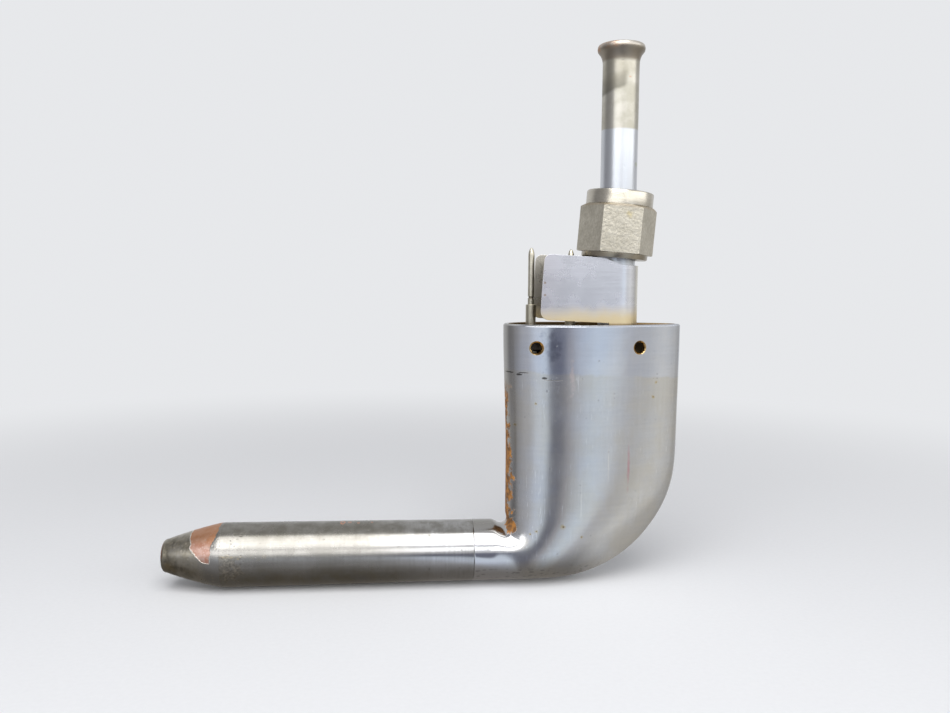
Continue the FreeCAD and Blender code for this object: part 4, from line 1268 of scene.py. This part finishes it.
# %% Finish the nut
nut_finish, tree, shader, place = new_finish("nut_plating", 1.0, 0.42, (0.46, 0.43, 0.36))
own = add_node(tree, "ShaderNodeVectorRotate", rotation_type="AXIS_ANGLE")
own.inputs["Center"].default_value = nut_middle
own.inputs["Axis"].default_value = (0, 1, 0)
own.inputs["Angle"].default_value = -math.radians(nut_tilt)
join(place, own.inputs["Vector"])
place = own.outputs[0]
_, _, z = split(place)
height_on_nut = plus(z, nut_length / 2 * MM - nut_middle.z)
collar = ramp(height_on_nut, hex_high * MM - 0.0002, hex_high * MM + 0.0001)
washer = ramp(height_on_nut, washer_height * MM + 0.0001, washer_height * MM - 0.0001)
turned = any_of([collar, washer])
rings = effect(streaks, place, Stretch=(80.0, 80.0, 1500.0))
pebbles = add_node(tree, "ShaderNodeTexVoronoi", feature="SMOOTH_F1")
pebbles.inputs["Scale"].default_value = 1300.0
join(place, pebbles.inputs["Vector"])
pebble = ramp(pebbles.outputs["Distance"], 0.15, 0.65)
grime = effect(clouds, place, Scale=160.0)
speck = effect(clouds, place, Scale=1500.0)
colour = mix_colour(grime, (0.60, 0.56, 0.47), (0.49, 0.455, 0.375))
colour = tint(colour, speck, 0.35, (0.30, 0.27, 0.21))
colour = tint(colour, pebble, 0.2, (0.58, 0.55, 0.48))
colour = tint(colour, turned, 0.6, (0.52, 0.49, 0.43))
colour = tint(colour, times(turned, rings), 0.25, (0.36, 0.32, 0.25))
# Painted shade: the washer face under the hex's overhang is darkened brown.
colour = tint(colour, washer, 0.75, (0.24, 0.20, 0.14))
# Painted shade: a brown line on the hex just under the collar's ledge.
corner_gap_shade = ramp(height_on_nut, hex_high * MM - 0.0009, hex_high * MM - 0.0001)
corner_gap_shade = times(corner_gap_shade, minus(1.0, collar))
colour = tint(colour, corner_gap_shade, 0.35, (0.40, 0.27, 0.13))
brown_spot = blot(place, (6.8, -8.7, 28.5), (1.4, 3.0, 1.2), 0.6, 900.0, 0.9)
colour = tint(colour, brown_spot, 0.5, (0.46, 0.37, 0.15))
join(colour, shader.inputs["Base Color"])
join(mix_value(turned, plus(times(speck, 0.08), 0.40), 0.27), shader.inputs["Roughness"])
matt = minus(1.0, turned)
height = times(matt, plus(times(pebble, 5.0), times(speck, 3.0)))
height = plus(height, times(turned, times(rings, 1.2)))
add_bump(shader, height, 0.004)
wear(nut, nut_finish)
print("nut nodes:", len(tree.nodes))

# %% [markdown]
# The guard is bright sheet, brushed lengthwise by its rolling and rubbed by the plug. Dirt has
# settled as a yellow-brown line along its foot, where water stands on the mast.

# %% Finish the guard
guard_finish, tree, shader, place = new_finish("brushed_guard", 1.0, 0.28, (0.60, 0.61, 0.64))
x, y, z = split(place)
along_sheet = effect(streaks, place, Stretch=(70.0, 70.0, 1300.0))
soft_cloud = effect(clouds, place, Scale=140.0)
colour = mix_colour(soft_cloud, (0.74, 0.75, 0.78), (0.70, 0.705, 0.745))
colour = tint(colour, along_sheet, 0.4, (0.56, 0.56, 0.60))
mauve = ramp(x, -0.006, -0.018)
colour = tint(colour, mauve, 0.3, (0.60, 0.54, 0.56))
# Painted shade: the far leaf of the U, seen past the near one, takes a shaded yellow-grey.
far_leaf_shade = ramp(y, -0.0045, -0.0030)
colour = tint(colour, far_leaf_shade, 0.6, (0.62, 0.57, 0.42))
foot_line = plus(z, times(noise(place, 240.0, 3.0), -0.0026))
foot_dirt = ramp(foot_line, 0.0044, -0.0004)
colour = tint(colour, foot_dirt, 0.85, (0.70, 0.56, 0.30))
# Painted shade: a dark line along the very foot, where the sheet stands on the plate.
seat_shade = ramp(z, 0.0006, -0.0002)
colour = tint(colour, seat_shade, 0.8, (0.28, 0.20, 0.11))
edge_freckles = effect(pits, place, Scale=800.0, Share=0.10, Size=0.3)
far_edge = ramp(x, -0.0095, -0.0135)
colour = tint(colour, times(edge_freckles, far_edge), 0.7, (0.35, 0.24, 0.15))
join(colour, shader.inputs["Base Color"])
roughness = plus(times(soft_cloud, 0.06), 0.24)
join(mix_value(foot_dirt, roughness, 0.42), shader.inputs["Roughness"])
add_bump(shader, minus(along_sheet, times(edge_freckles, 2.0)), 0.0012)
wear(guard, guard_finish)
print("guard nodes:", len(tree.nodes))

# %% [markdown]
# Silver plate on the pins has aged to a pale cream. It is darker in the snap groove and near
# the foot, and the rubbing of the plug has left fine rings.

# %% Finish the pins
pin_finish, tree, shader, place = new_finish("pin_silver", 1.0, 0.33, (0.66, 0.62, 0.52))
_, _, z = split(place)
rings = effect(streaks, place, Stretch=(100.0, 100.0, 2200.0))
patchy = effect(clouds, place, Scale=320.0)
colour = mix_colour(patchy, (0.58, 0.55, 0.46), (0.44, 0.41, 0.33))
colour = tint(colour, rings, 0.2, (0.45, 0.40, 0.30))
groove = times(ramp(z, 0.0065, 0.0067), ramp(z, 0.0073, 0.0071))
colour = tint(colour, groove, 0.8, (0.16, 0.13, 0.09))
base_dirt = ramp(z, 0.0052, 0.0010)
colour = tint(colour, base_dirt, 0.4, (0.36, 0.33, 0.26))
join(colour, shader.inputs["Base Color"])
join(plus(times(patchy, 0.1), 0.28), shader.inputs["Roughness"])
add_bump(shader, rings, 0.002)
for pin in pins:
    wear(pin, pin_finish)
print("pin nodes:", len(tree.nodes))

# %% [markdown]
# The other solids are carried over as they are, since flat plates and plain tubes need no new
# shape. Each still gets its own finish: a colour that drifts, a grain or tool mark at its true
# scale, and a bump to match. One helper covers them, because they differ only in those values.

# %% Finish the carried-over solids
def plain_finish(name, metallic, roughness, light, dark, stretch, cloud_scale, bump_mm):
    material, _, shader, place = new_finish(name, metallic, roughness, light)
    lines = effect(streaks, place, Stretch=stretch)
    drift = effect(clouds, place, Scale=cloud_scale)
    specks = effect(pits, place, Scale=900.0, Share=0.12, Size=0.28)
    colour = mix_colour(drift, light, dark)
    colour = tint(colour, lines, 0.25, tuple(0.6 * v for v in dark))
    colour = tint(colour, specks, 0.4, tuple(0.4 * v for v in dark))
    join(colour, shader.inputs["Base Color"])
    join(plus(times(drift, 0.12), roughness - 0.05), shader.inputs["Roughness"])
    add_bump(shader, minus(lines, times(specks, 2.0)), bump_mm)
    return material


finish_table = [
    (
        "plate_brass", 1.0, 0.42, (0.38, 0.30, 0.17), (0.20, 0.15, 0.085),
        (200.0, 1400.0, 200.0), 240.0, 0.004, ["top_plate", "reducer_bush"],
    ),
    (
        "inner_copper", 1.0, 0.35, (0.60, 0.28, 0.17), (0.38, 0.16, 0.09),
        (900.0, 120.0, 120.0), 200.0, 0.003,
        ["pitot_tube", "pressure_line", "water_dam", "rear_bulkhead", "heater_bracket"],
    ),
    (
        "ceramic", 0.0, 0.62, (0.80, 0.76, 0.66), (0.68, 0.63, 0.52),
        (500.0, 500.0, 500.0), 300.0, 0.005, ["heater_former", "mast_heater_core"],
    ),
    (
        "heater_wire", 1.0, 0.45, (0.34, 0.32, 0.30), (0.20, 0.18, 0.16),
        (1200.0, 1200.0, 300.0), 400.0, 0.004, ["heater_winding", "mast_heater_winding"],
    ),
    (
        "mica", 0.0, 0.28, (0.55, 0.48, 0.33), (0.38, 0.31, 0.19),
        (200.0, 700.0, 700.0), 260.0, 0.004, ["mica_wrap"],
    ),
    (
        "insulator", 0.0, 0.48, (0.11, 0.085, 0.06), (0.055, 0.042, 0.03),
        (600.0, 600.0, 600.0), 350.0, 0.006, ["terminal_insulator"],
    ),
    (
        "gasket", 0.0, 0.70, (0.16, 0.075, 0.05), (0.09, 0.045, 0.03),
        (900.0, 900.0, 900.0), 500.0, 0.006, ["insulator_gasket"],
    ),
    (
        "lead_sleeve", 0.0, 0.60, (0.62, 0.58, 0.48), (0.48, 0.43, 0.34),
        (1500.0, 1500.0, 1500.0), 400.0, 0.008,
        ["heater_lead_front", "heater_lead_rear", "heater_lead_series"],
    ),
]
pin_fittings = ["pin_washer_front", "pin_washer_rear", "pin_nut_front", "pin_nut_rear"]
carried = [(plain_finish(*looks), members) for *looks, members in finish_table]
carried.append((pin_finish, pin_fittings))
for material, members in carried:
    for member in members:
        holder = nodes[member]
        if not holder.material_slots:
            holder.data.materials.append(material)
        for material_slot in holder.material_slots:
            material_slot.link = "OBJECT"
            material_slot.material = material
print("carried over:", sum(len(members) for _, members in carried), "solids")
